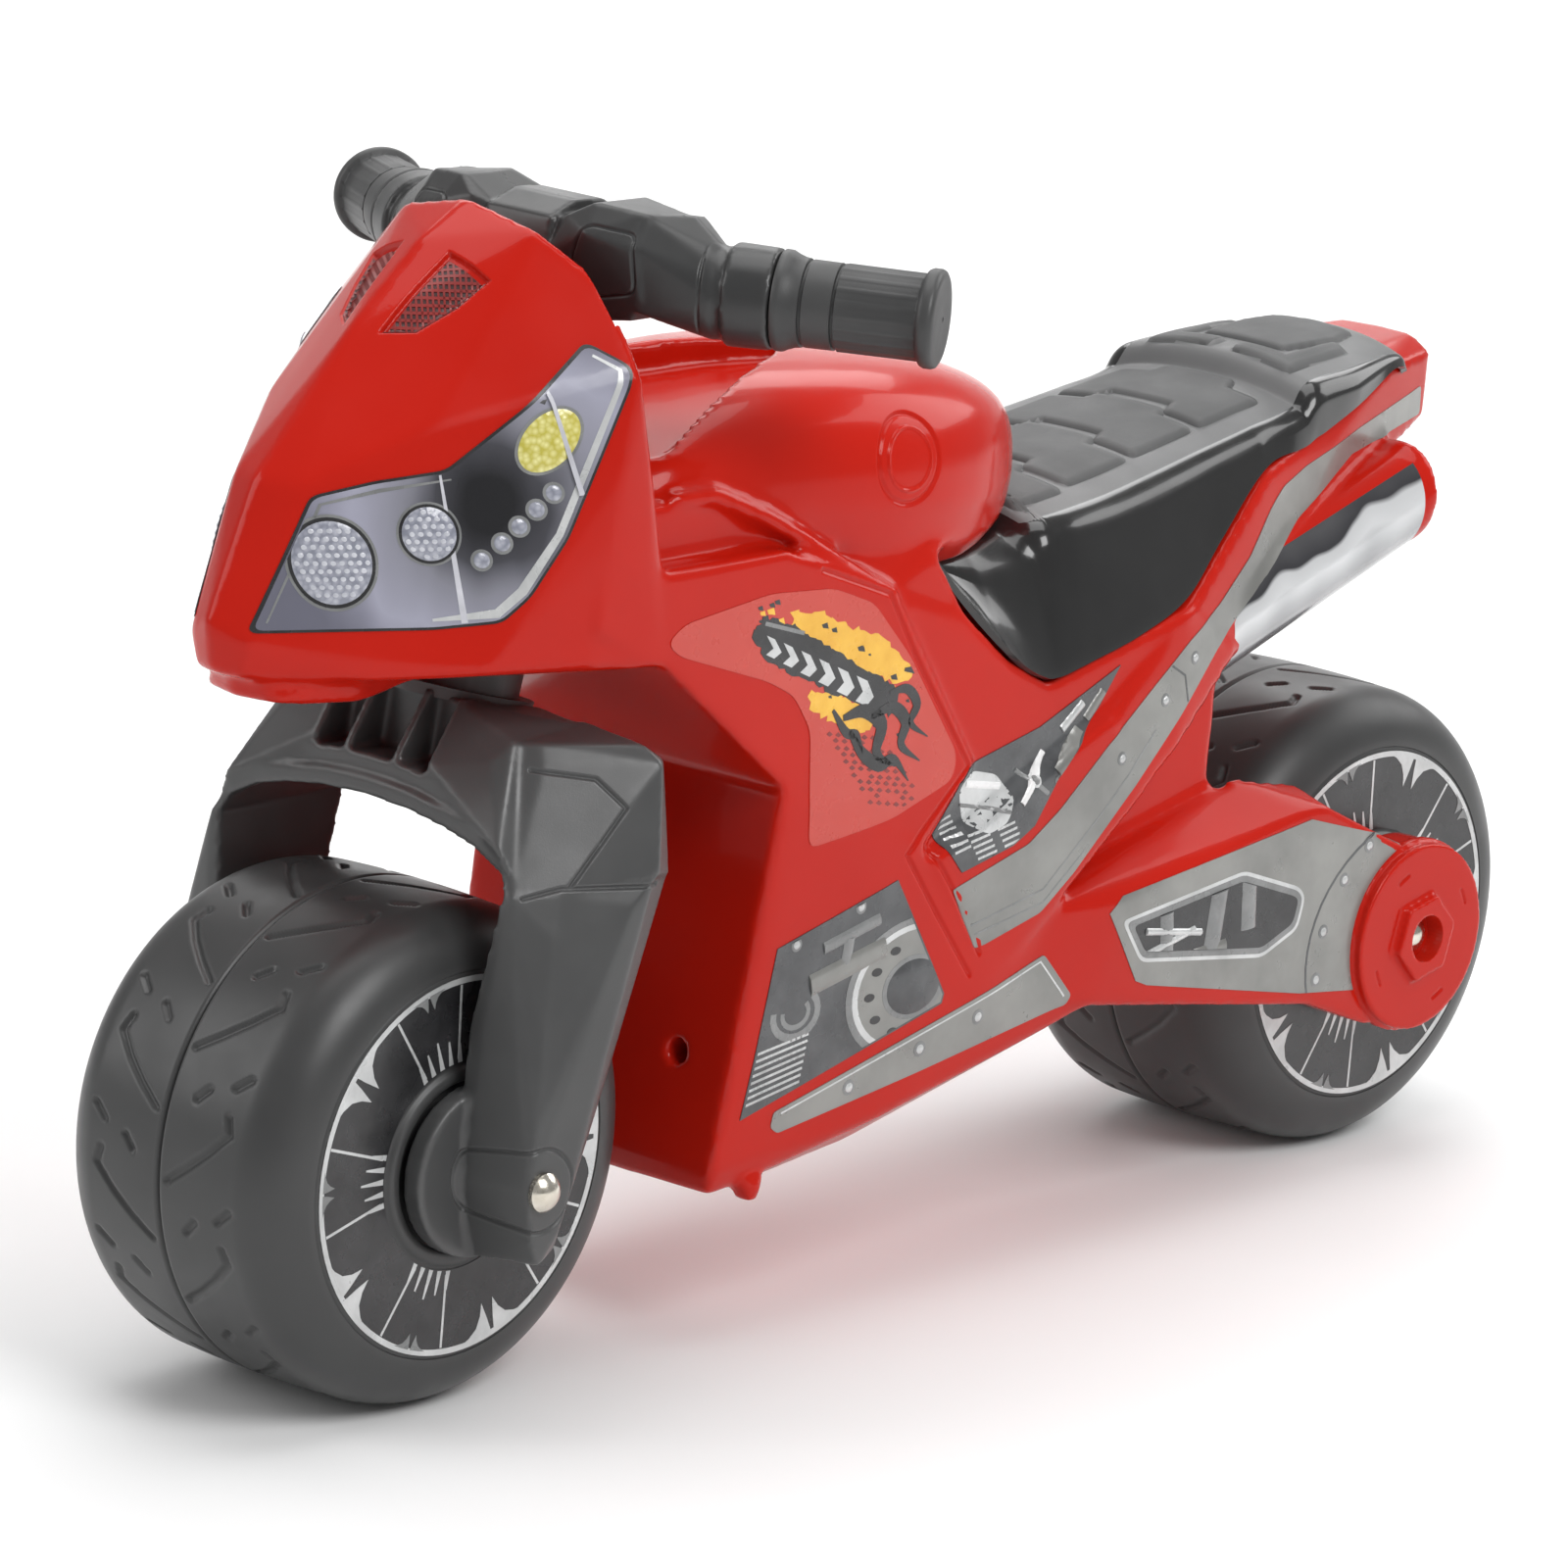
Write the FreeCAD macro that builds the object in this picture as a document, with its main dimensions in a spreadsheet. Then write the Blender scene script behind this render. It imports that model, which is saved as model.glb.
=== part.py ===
"""Foot-to-floor ride-on toy motorcycle, a parametric FreeCAD document.

Millimetres, +Z up, the front wheel towards -Y and the rider's left towards +X.
The origin is on the floor, midway between the tyres' outer ends.
"""
import FreeCAD
import Part

import math
import os

import Sketcher
from FreeCAD import Placement, Rotation, Vector

doc = FreeCAD.newDocument("ride_on_motorcycle")
sheet = doc.addObject("Spreadsheet::Sheet", "Sizes")

DIMENSIONS = {
    "overall_length": 730,     # tyre to tyre
    "wheel_radius": 98,
    "wheel_width": 120,
    "wheel_wall": 3.5,
    "face_radius": 74,         # flat side face of a wheel
    "hub_ring_radius": 38,     # raised ring around the hub recess
    "hub_boss_radius": 15,
    "axle_radius": 5,
    "bush_radius": 9,          # outside of the sleeve in a wheel
    "running_gap": 0.1,        # radial clearance of everything that turns
    "body_wall": 3,
    "body_half_width": 80,
    "rake_angle": 15,          # steering axis, leaning back
    "steering_foot": -261,     # y of the steering axis at axle height
    "steering_tube_radius": 24,
    "steering_bore_radius": 19,
    "stem_radius": 15,
    "fork_inner": 68,          # half the gap between the fork legs
    "fork_outer": 103,
    "grip_radius": 16,
    "arm_inner": 64,           # half the gap between the rear arms
    "hub_cover_radius": 40,
    "pipe_radius": 23,
    "pipe_offset": 50,         # exhaust centre line from the middle plane
    "decal_thickness": 0.4,
}


class Size:
    """A length that knows both its value and its formula in the spreadsheet's words."""

    def __init__(self, value, formula=None):
        self.value = float(value)
        self.formula = formula if formula is not None else repr(float(value))

    def _with(self, other, sign, value):
        return Size(value, f"({self.formula} {sign} {as_size(other).formula})")

    def __add__(self, other):
        return self._with(other, "+", self.value + as_size(other).value)

    def __sub__(self, other):
        return self._with(other, "-", self.value - as_size(other).value)

    def __mul__(self, other):
        return self._with(other, "*", self.value * as_size(other).value)

    def __truediv__(self, other):
        return self._with(other, "/", self.value / as_size(other).value)

    def __neg__(self):
        return Size(-self.value, f"(0 - {self.formula})")


def as_size(number):
    return number if isinstance(number, Size) else Size(number)


def fill_sheet():
    """One row per driving dimension: its name, its value and the alias that formulas use."""
    sizes = {}
    for row, (name, value) in enumerate(DIMENSIONS.items(), 1):
        sheet.set(f"A{row}", name)
        sheet.set(f"B{row}", str(value))
        sheet.setAlias(f"B{row}", name)
        sizes[name] = Size(value, f"Sizes.{name}")
    doc.recompute()
    return sizes


S = fill_sheet()

FRONT_AXLE_Y = S["wheel_radius"] - S["overall_length"] / 2
REAR_AXLE_Y = -FRONT_AXLE_Y
AXLE_Z = S["wheel_radius"]
HALF_WHEEL = S["wheel_width"] / 2
ARM_FACE = S["body_half_width"] + 2
RAKE = math.radians(S["rake_angle"].value)
STEERING_UP = Vector(0, math.sin(RAKE), math.cos(RAKE))

YZ = Rotation(Vector(0, 1, 0), Vector(0, 0, 1), Vector(1, 0, 0), "XYZ")
XZ = Rotation(Vector(1, 0, 0), Vector(0, 0, 1), Vector(0, -1, 0), "XYZ")
XY = Rotation()
ALONG_X = Rotation(Vector(0, 0, 1), Vector(1, 0, 0))


# ---------------------------------------------------------------- building blocks

def bind(obj, **sizes):
    """Ties properties of an object to the spreadsheet."""
    for name, size in sizes.items():
        size = as_size(size)
        setattr(obj, name, size.value)
        obj.setExpression(name, size.formula)
    return obj


def place(obj, x=0, y=0, z=0, rotation=XY):
    """Puts an object at a bound position."""
    obj.Placement = Placement(Vector(as_size(x).value, as_size(y).value, as_size(z).value), rotation)
    for axis, size in (("x", x), ("y", y), ("z", z)):
        obj.setExpression(f".Placement.Base.{axis}", as_size(size).formula)
    return obj


def outline(name, rotation, points):
    """A sketch of straight lines through points, each held by its two sizes from the origin."""
    sketch = doc.addObject("Sketcher::SketchObject", name)
    sketch.Placement = Placement(Vector(), rotation)
    corners = [(as_size(a), as_size(b)) for a, b in points]
    count = len(corners)
    for i, (a, b) in enumerate(corners):
        c, d = corners[(i + 1) % count]
        sketch.addGeometry(Part.LineSegment(Vector(a.value, b.value, 0), Vector(c.value, d.value, 0)))
    for i in range(count):
        sketch.addConstraint(Sketcher.Constraint("Coincident", i, 2, (i + 1) % count, 1))
    for i, (a, b) in enumerate(corners):
        for kind, size in (("DistanceX", a), ("DistanceY", b)):
            number = sketch.addConstraint(Sketcher.Constraint(kind, -1, 1, i, 1, size.value))
            sketch.setExpression(f"Constraints[{number}]", size.formula)
    return sketch


def prism(name, rotation, points, start, end, inset=None):
    """The outline swept square to its plane from start to end; inset shrinks the outline first."""
    base = outline(name + "_outline", rotation, points)
    if inset is not None:
        smaller = doc.addObject("Part::Offset2D", name + "_inset")
        smaller.Source = base
        smaller.Mode = "Pipe"
        smaller.Join = "Intersection"
        base = bind(smaller, Value=-as_size(inset))
        start, end = as_size(start) + inset, as_size(end) - inset
    solid = doc.addObject("Part::Extrusion", name)
    solid.Base = base
    solid.DirMode = "Normal"
    solid.Solid = True
    return bind(solid, LengthFwd=end, LengthRev=-as_size(start))


def across(name, points, start, end, inset=None):
    """A side view (y, z) swept across the machine from x = start to x = end."""
    return prism(name, YZ, points, start, end, inset)


def upward(name, points, start, end, inset=None):
    """A plan (x, y) swept upwards from z = start to z = end."""
    return prism(name, XY, points, start, end, inset)


def lengthwise(name, points, start, end, inset=None):
    """A front view (x, z) swept along the machine from y = start to y = end."""
    return prism(name, XZ, points, -as_size(end), -as_size(start), inset)


def both_sides(half):
    """Closes a half outline, given down the +X side, with its mirror image."""
    return list(half) + [(-as_size(a), b) for a, b in reversed(half) if as_size(a).value != 0]


def boolean(kind, name, *parts):
    """Fuse, Common or Cut; Cut takes the rest away from the first."""
    if kind == "Cut":
        tools = parts[1:]
        made = doc.addObject("Part::Cut", name)
        made.Base = parts[0]
        made.Tool = tools[0] if len(tools) == 1 else boolean("Fuse", name + "_tools", *tools)
        return made
    made = doc.addObject({"Fuse": "Part::MultiFuse", "Common": "Part::MultiCommon"}[kind], name)
    made.Shapes = list(parts)
    return made


def rod(name, radius, length, x=0, y=0, z=0, rotation=XY):
    """A cylinder that starts at the position and runs along its rotated +Z."""
    cylinder = bind(doc.addObject("Part::Cylinder", name), Radius=radius, Height=length)
    return place(cylinder, x, y, z, rotation)


def cross_rod(name, radius, start, end, y, z):
    """A cylinder across the machine, from x = start to x = end."""
    start = as_size(start)
    return rod(name, radius, as_size(end) - start, start, y, z, ALONG_X)


def tube(name, outer, inner, start, end, y, z):
    """A sleeve across the machine."""
    return boolean("Cut", name, cross_rod(name + "_outside", outer, start, end, y, z),
                   cross_rod(name + "_bore", inner, start, end, y, z))


def turned(name, half_section, x=0, y=0, z=0):
    """A solid of revolution about a line across the machine; its section is (x, radius)."""
    section = outline(name + "_section", XY, half_section)
    solid = doc.addObject("Part::Revolution", name)
    solid.Source = section
    solid.Axis = Vector(1, 0, 0)
    solid.Base = Vector()
    solid.Angle = 360
    solid.Solid = True
    return place(solid, x, y, z)


def steering_point(height):
    """The point of the steering axis at a height above the floor."""
    lift = height - S["wheel_radius"].value
    return Vector(0, S["steering_foot"].value + lift * math.tan(RAKE), height)


def steering_rod(name, radius, low, high):
    """A cylinder on the steering axis between two heights above the floor."""
    foot, head = steering_point(low), steering_point(high)
    cylinder = bind(doc.addObject("Part::Cylinder", name), Radius=radius)
    cylinder.Height = (head - foot).Length
    cylinder.Placement = Placement(foot, Rotation(Vector(0, 0, 1), STEERING_UP))
    return cylinder


def side_name(sign):
    return "left" if sign > 0 else "right"


NODES = []


def node(obj, label):
    """Keeps a finished sub-part under the name that its file gets."""
    obj.Label = label
    NODES.append(obj)
    return obj


def mirror(obj, name):
    """The same piece on the rider's right."""
    made = doc.addObject("Part::Mirroring", name)
    made.Source = obj
    made.Normal = Vector(1, 0, 0)
    made.Base = Vector()
    return made


def pair(obj, label):
    """A piece for the rider's left, and its mirror image for the right."""
    node(obj, label + "_left")
    node(mirror(obj, label + "_other"), label + "_right")


# ---------------------------------------------------------------- body shell

# Every lobe of the moulding is where up to three outlines agree: a side view (y, z), half a
# plan (x, y) and half a front view (x, z), the halves listed down the +X side.
LOBES = {
    "cowl": {
        "side": [(-332, 276), (-348, 304), (-325, 356), (-278, 406), (-243, 436), (-219, 450),
                 (-212, 449), (-209, 396), (-221, 331), (-212, 322), (-188, 322), (-188, 283),
                 (-290, 283)],
        "plan": [(0, -350), (13, -346), (80, -219), (82, -205), (82, -180), (0, -180)],
        "front": [(0, 452), (30, 449), (58, 428), (82, 397), (82, 286), (60, 280), (0, 272)],
    },
    "panel": {
        "side": [(-214, 322), (-121, 319), (-57, 292), (19, 249), (36, 240), (80, 248),
                 (123, 260), (150, 240), (114, 203), (47, 154), (40, 140), (63, 103), (-50, 80),
                 (-143, 70), (-126, 116), (-117, 184), (-119, 223), (-137, 255), (-187, 280)],
        "front": [(0, 325), (78, 325), (78, 84), (68, 62), (0, 62)],
    },
    "core": {
        "side": [(-100, 310), (-44, 304), (-32, 262), (165, 262), (158, 225), (150, 180),
                 (150, 110), (60, 104), (-60, 86)],
        "front": [(0, 315), (62, 315), (62, 84), (0, 84)],
    },
    "shelf": {
        "side": [(-224, 332), (-216, 352), (-196, 360), (-106, 367), (-100, 300), (-216, 300)],
        "front": [(0, 368), (44, 366), (57, 356), (64, 340), (68, 318), (68, 296), (0, 296)],
    },
    "tank": {
        "side": [(-112, 322), (-113, 364), (-103, 373), (-43, 370), (14, 361), (50, 348),
                 (62, 330), (66, 300), (-57, 291)],
        "plan": [(0, -116), (44, -113), (62, -100), (74, -62), (74, -44), (64, 2), (50, 30),
                 (30, 56), (0, 66)],
        "front": [(0, 374), (34, 372), (52, 364), (62, 350), (70, 326), (76, 292), (76, 285),
                  (0, 285)],
    },
    "ridge": {
        "side": [(-23, 170), (70, 224), (102, 240), (122, 256), (158, 235), (114, 203),
                 (47, 154), (-1, 139)],
        "plan": [(0, -30), (82, -30), (82, 75), (70, 158), (0, 165)],
    },
    "saddle": {
        "side": [(-40, 286), (66, 294), (135, 302), (210, 314), (280, 333), (300, 320),
                 (190, 268), (120, 240), (20, 235), (-40, 266)],
        "plan": [(0, -50), (64, -50), (67, 110), (50, 184), (34, 276), (0, 284)],
        "front": [(0, 340), (34, 340), (46, 312), (53, 296), (68, 262), (68, 230), (0, 230)],
    },
    "tail": {
        "side": [(118, 252), (184, 303), (282, 338), (328, 327), (323, 302), (300, 296),
                 (262, 283), (207, 266), (160, 233), (130, 230)],
        "plan": [(0, 105), (78, 105), (60, 195), (40, 306), (28, 330), (0, 330)],
    },
}

ARM_SIDE = [(10, 118), (12, 146), (34, 150), (167, 178), (205, 168), (246, 140), (267, 137),
            (267, 59), (246, 63), (203, 78), (63, 103)]

FAR = 500


def lobe(name, side, half_width=None, plan=None, front=None, inset=None):
    """Where the side view and the optional plan and front view agree."""
    half_width = half_width or as_size(S["body_half_width"] + 10)
    parts = [across(name + "_side", side, -half_width, half_width, inset)]
    if plan:
        parts.append(upward(name + "_plan", both_sides(plan), 0, FAR, inset))
    if front:
        parts.append(lengthwise(name + "_front", both_sides(front), -FAR, FAR, inset))
    return boolean("Common", name, *parts) if len(parts) > 1 else parts[0]


def arms(suffix, inset):
    """The two hollow arms beside the rear wheel, each ending in a disc around the axle."""
    margin = inset or 0
    made = []
    for sign in (1, -1):
        name = f"arm_{side_name(sign)}{suffix}"
        start, end = sorted((S["arm_inner"] * sign, ARM_FACE * sign), key=lambda size: size.value)
        blade = across(name + "_blade", ARM_SIDE, start, end, inset)
        disc = cross_rod(name + "_disc", S["hub_cover_radius"] - margin, start + margin,
                         end - margin, REAR_AXLE_Y, AXLE_Z)
        made.append(boolean("Fuse", name, blade, disc))
    return made


def pipe(name, x, radius, start, end):
    """An exhaust pipe between two distances along its rising centre line."""
    rise = math.radians(16)
    base = Vector(0, 140 + start * math.cos(rise), 233 + start * math.sin(rise))
    along = Rotation(Vector(0, 0, 1), Vector(0, math.cos(rise), math.sin(rise)))
    return rod(name, radius, as_size(end) - start, x, base.y, base.z, along)


def pipes(suffix, inset):
    """The two exhaust pipes; the inset ones stop short of the closed end."""
    end = 134 if inset else 152
    return [pipe(f"pipe_{side_name(sign)}{suffix}", S["pipe_offset"] * sign,
                 S["pipe_radius"] - (inset or 0), 5, end) for sign in (1, -1)]


def body_solid(suffix, inset=None):
    """The whole moulding as one solid, or its hollow inside."""
    lobes = [lobe(name + suffix, inset=inset, **spec) for name, spec in LOBES.items()]
    margin = as_size(inset or 0)
    boss = steering_rod("head" + suffix, S["steering_tube_radius"] + 10 - margin,
                        263 + margin.value, 348 - margin.value)
    return boolean("Fuse", "body" + suffix, *lobes, boss, *arms(suffix, inset),
                   *pipes(suffix, inset))


COWL_REGION = [(-400, 200), (-213, 200), (-213, 353), (-200, 361), (-200, 500), (-400, 500)]
TANK_REGION = [(-119, 330), (-119, 320), (-57, 301), (62, 303), (90, 400), (-119, 400)]


def body_shell(outside):
    """The red blow-moulded body: hollow, bored for the steering and for the rear axle.

    It is kept as three touching pieces, so that each one is close to convex.
    """
    mouths = [pipe(f"pipe_{side_name(sign)}_mouth", S["pipe_offset"] * sign,
                   S["pipe_radius"] - 5, 142, 160) for sign in (1, -1)]
    vents = [rod(f"vent_hole_{side_name(sign)}", 4, 40, 36 * sign, -140, 108,
                 Rotation(Vector(1, 0, 0), -90)) for sign in (1, -1)]
    shell = boolean("Cut", "moulding", outside, body_solid("_inside", S["body_wall"]),
                    steering_rod("steering_bore", S["steering_tube_radius"], 240, 370),
                    cross_rod("rear_axle_bore", S["axle_radius"], -100, 100, REAR_AXLE_Y, AXLE_Z),
                    *mouths, *vents)
    cowl_region = across("cowl_region", COWL_REGION, -FAR, FAR)
    tank_region = across("tank_region", TANK_REGION, -FAR, FAR)
    node(boolean("Common", "cowl_shell", shell, cowl_region), "cowl_shell")
    node(boolean("Common", "tank_shell", shell, tank_region), "tank_shell")
    node(boolean("Cut", "main_shell", shell, cowl_region, tank_region), "body_shell")


# ---------------------------------------------------------------- seat

SEAT_SKIRT = [(-27, 302.4), (19, 249.4), (36, 240.4), (80, 248.4), (123, 260.6), (184, 303.6),
              (282, 338.6)]
SEAT_TOP = [(288, 344), (222, 331), (216, 324), (140, 313), (70, 303), (56, 300), (-12, 307)]
SEAT_PLAN = [(0, -35), (70, -35), (75, 10), (75, 90), (70, 125), (56, 184), (42, 284), (0, 292)]
SEAT_FRONT = [(0, 346), (40, 346), (50, 320), (57, 300), (74, 262), (75, 235), (0, 235)]


def seat():
    """The black saddle cover: a thin shell, open below, notched around the tank."""
    skin = lobe("seat_skin", SEAT_SKIRT + SEAT_TOP, plan=SEAT_PLAN, front=SEAT_FRONT)
    lowered = [(y, z - 30) for y, z in SEAT_SKIRT]
    front = SEAT_FRONT[:-2] + [(76, 190), (0, 190)]
    hollow = lobe("seat_hollow", lowered + SEAT_TOP, plan=SEAT_PLAN, front=front,
                  inset=S["body_wall"])
    tank = lobe("seat_notch", inset=as_size(-0.4), **LOBES["tank"])
    node(boolean("Cut", "seat", skin, hollow, tank), "seat")


# ---------------------------------------------------------------- steering

def steering_sleeve():
    """The flanged sleeve fixed in the body, in which the fork's tube turns."""
    barrel = steering_rod("sleeve_barrel", S["steering_tube_radius"], 258.4, 352)
    flange = steering_rod("sleeve_flange", S["steering_tube_radius"] + 6, 258.4, 262.8)
    bore = steering_rod("sleeve_bore", S["steering_bore_radius"], 250, 360)
    node(boolean("Cut", "steering_sleeve", boolean("Fuse", "sleeve_blank", barrel, flange), bore),
         "steering_sleeve")


FORK_LEG = [(-266, 211), (-268, 190), (-277, 120), (-279, 98), (-272, 67), (-253, 71),
            (-224, 142), (-211, 185), (-199, 207), (-197, 223), (-209, 253), (-258, 261)]
FORK_CROWN = [(-256, 268.1), (-196, 252), (-190, 230), (-205, 222), (-250, 224)]


def fork():
    """The black fork: a crown with the steering tube, and two legs open to the wheel."""
    inner, outer = S["fork_inner"], S["fork_outer"]
    blade = across("leg_blade", FORK_LEG, inner, outer)
    taper = lengthwise("leg_taper", [(inner, 50), (outer, 50), (outer, 215), (outer - 10, 253),
                                     (outer - 20, 262), (inner, 262)], -FAR, FAR)
    hollow = across("leg_hollow", FORK_LEG[:9] + [(-262, 214)], inner - 4, outer, 4)
    boss = cross_rod("leg_boss", S["axle_radius"] + 6, inner, outer - 2, FRONT_AXLE_Y, AXLE_Z)
    ring = tube("leg_ring", S["hub_ring_radius"] - 5, S["bush_radius"] + 0.5, HALF_WHEEL + 2.4,
                inner + 4, FRONT_AXLE_Y, AXLE_Z)
    leg = boolean("Fuse", "leg", boolean("Cut", "leg_shell",
                                         boolean("Common", "leg_solid", blade, taper), hollow),
                  boss, ring)
    crown = across("crown", FORK_CROWN, -inner - 2, inner + 2)
    tube_radius = S["steering_bore_radius"] - S["running_gap"]
    pillar = steering_rod("fork_tube", tube_radius, 256, 354)
    blank = boolean("Fuse", "fork_blank", crown, leg, mirror(leg, "leg_other"), pillar)
    cut = boolean("Cut", "fork", blank,
                  steering_rod("fork_tube_bore", S["stem_radius"], 270, 360),
                  steering_rod("fork_bolt_bore", 4, 200, 280),
                  steering_rod("fork_bolt_recess", 10, 200, 232),
                  cross_rod("front_axle_bore", S["axle_radius"], -110, 110, FRONT_AXLE_Y, AXLE_Z))
    node(cut, "fork")


def steering_bolt():
    """The bolt that pulls the handlebar stem down into the fork, and its washer."""
    head = steering_rod("bolt_head", 6.5, 225, 230.2)
    shank = steering_rod("bolt_shank", 4, 230.2, 318)
    node(boolean("Fuse", "steering_bolt", head, shank), "steering_bolt")
    washer = steering_rod("washer_disc", 9, 230.2, 232)
    node(boolean("Cut", "steering_washer", washer, steering_rod("washer_bore", 4, 220, 240)),
         "steering_washer")


BAR_LINE = [Vector(0, -172, 431), Vector(40, -172, 431), Vector(75, -161, 419.5),
            Vector(95, -149.6, 418.7), Vector(149, -119, 416.5)]


def limb(name, radius, start, end):
    """A round bar between two points."""
    cylinder = bind(doc.addObject("Part::Cylinder", name), Radius=radius)
    cylinder.Height = (end - start).Length
    cylinder.Placement = Placement(start, Rotation(Vector(0, 0, 1), end - start))
    return cylinder


def on_grip(distance):
    """The point of the left grip's centre line at a distance from its inner end."""
    direction = (BAR_LINE[4] - BAR_LINE[3]).normalize()
    return BAR_LINE[3] + direction * distance


GRIP_LENGTH = (BAR_LINE[4] - BAR_LINE[3]).Length


def handlebar():
    """The black handlebar: a block on the stem, two shoulders and the cores for the grips."""
    block = across("bar_block", [(-197, 426), (-192, 446), (-178, 450), (-166, 449), (-150, 440),
                                 (-148, 418), (-168, 404), (-190, 408)], -40, 40)
    shoulder = limb("bar_shoulder", 17, BAR_LINE[1] - Vector(12, 0, 0), BAR_LINE[2])
    collar = limb("bar_collar", S["grip_radius"] + 2, BAR_LINE[2], BAR_LINE[3])
    core = limb("bar_core", S["grip_radius"] - 4, on_grip(-8), on_grip(58))
    half = boolean("Fuse", "bar_half", shoulder, collar, core)
    stem = steering_rod("bar_stem", S["stem_radius"], 285, 400)
    column = steering_rod("bar_column", S["stem_radius"] + 8, 354.2, 420)
    blank = boolean("Fuse", "bar_blank", block, half, mirror(half, "bar_other"), stem, column)
    hollow = steering_rod("bar_hollow", S["stem_radius"] - 5, 330, 430)
    bolt_bore = steering_rod("bar_bolt_bore", 4, 280, 319)
    node(boolean("Cut", "handlebar", blank, hollow, bolt_bore), "handlebar")


def grips():
    """The push-on grips, each with two ribs and an end flange."""
    sleeve = limb("grip_sleeve", S["grip_radius"], on_grip(0.3), on_grip(GRIP_LENGTH))
    ribs = [limb(f"grip_rib_{i}", S["grip_radius"] + 1, on_grip(at), on_grip(at + 3))
            for i, at in enumerate((12, 26))]
    flange = limb("grip_flange", S["grip_radius"] + 2.5, on_grip(GRIP_LENGTH - 4),
                  on_grip(GRIP_LENGTH))
    bore = limb("grip_bore", S["grip_radius"] - 4, on_grip(-1), on_grip(58))
    grip = boolean("Cut", "grip", boolean("Fuse", "grip_blank", sleeve, flange, *ribs), bore)
    pair(grip, "grip")


# ---------------------------------------------------------------- wheels and axles

def rounded(name, solid, radius, rounding):
    """Rounds the two outer edges of a wheel or of its hollow."""
    doc.recompute()
    made = doc.addObject("Part::Fillet", name)
    made.Base = solid
    made.Edges = [(i, rounding, rounding) for i, edge in enumerate(solid.Shape.Edges, 1)
                  if hasattr(edge.Curve, "Radius") and abs(edge.Curve.Radius - radius) < 0.01]
    return made


def wheel(end, y):
    """A hollow wheel with a recessed hub; the sleeve in its middle turns on the axle."""
    name = end + "_wheel"
    bush, boss, ring = S["bush_radius"], S["hub_boss_radius"], S["hub_ring_radius"]
    radius, face, wall = S["wheel_radius"], HALF_WHEEL, S["wheel_wall"]
    half = [(face + 2, bush), (face + 2, boss), (face - 6, boss), (face - 6, ring - 4),
            (face + 2, ring - 4), (face + 2, ring), (face, ring), (face, radius)]
    blank = turned(name + "_blank", half + [(-x, r) for x, r in reversed(half)])
    half = [(face - 10, boss), (face - 10, ring + 4), (face - wall, ring + 4),
            (face - wall, radius - wall)]
    hollow = turned(name + "_hollow", half + [(-x, r) for x, r in reversed(half)])
    rounding = S["wheel_radius"].value - S["face_radius"].value
    tyre = rounded(name + "_tyre", blank, radius.value, rounding)
    cavity = rounded(name + "_cavity", hollow, (radius - wall).value, rounding - wall.value)
    groove = turned(name + "_groove", [(-1.5, radius + 1), (1.5, radius + 1), (0, radius - 2)])
    pin_hole = cross_rod(name + "_pin_hole", 3, 40, 70, 0, 56)
    made = boolean("Cut", name, tyre, cavity, groove, pin_hole)
    node(place(made, 0, y, AXLE_Z), name)


def bush(end, gap, y):
    """The hub sleeve of a wheel, as long as the gap that the wheel turns in."""
    reach = gap - 0.3
    made = tube(end + "_bush", S["bush_radius"], S["axle_radius"] + S["running_gap"],
                -reach, reach, y, AXLE_Z)
    node(made, end + "_wheel_bush")


def labels(end, y):
    """The printed rings on both faces of a wheel."""
    inner, outer = S["hub_ring_radius"] + 0.4, S["face_radius"]
    made = tube(end + "_label", outer, inner, HALF_WHEEL, HALF_WHEEL + S["decal_thickness"],
                y, AXLE_Z)
    hole = cross_rod(end + "_label_hole", 3, 40, 70, y, AXLE_Z + 56)
    pair(boolean("Cut", end + "_label_punched", made, hole), end + "_wheel_label")


def axle(end, half_length, y):
    """A steel axle with a domed push-on cap at each end."""
    node(cross_rod(end + "_axle", S["axle_radius"], -half_length, half_length, y, AXLE_Z),
         end + "_axle")
    dome = bind(doc.addObject("Part::Sphere", end + "_dome"), Radius=S["axle_radius"] + 4)
    place(dome, half_length - 3, y, AXLE_Z)
    limit = cross_rod(end + "_dome_limit", S["axle_radius"] + 2.5, half_length,
                      half_length + 20, y, AXLE_Z)
    cap = boolean("Common", end + "_cap", dome, limit)
    node(boolean("Fuse", end + "_caps", cap, mirror(cap, end + "_cap_other")), end + "_axle_caps")


def hub_covers():
    """The red discs over the rear arms, each with a hexagonal well for the axle cap."""
    face = ARM_FACE
    disc = cross_rod("cover_disc", S["hub_cover_radius"] - 3, face, face + 4, REAR_AXLE_Y, AXLE_Z)
    corner = S["axle_radius"] * 3.6
    hexagon = [(REAR_AXLE_Y + corner * math.cos(math.radians(60 * i)),
                AXLE_Z + corner * math.sin(math.radians(60 * i))) for i in range(6)]
    boss = across("cover_boss", hexagon, face, face + 6)
    well = cross_rod("cover_well", S["axle_radius"] + 3, face - 1, face + 10, REAR_AXLE_Y, AXLE_Z)
    pair(boolean("Cut", "cover", boolean("Fuse", "cover_blank", disc, boss), well),
         "rear_hub_cover")


# ---------------------------------------------------------------- printed films

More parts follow.
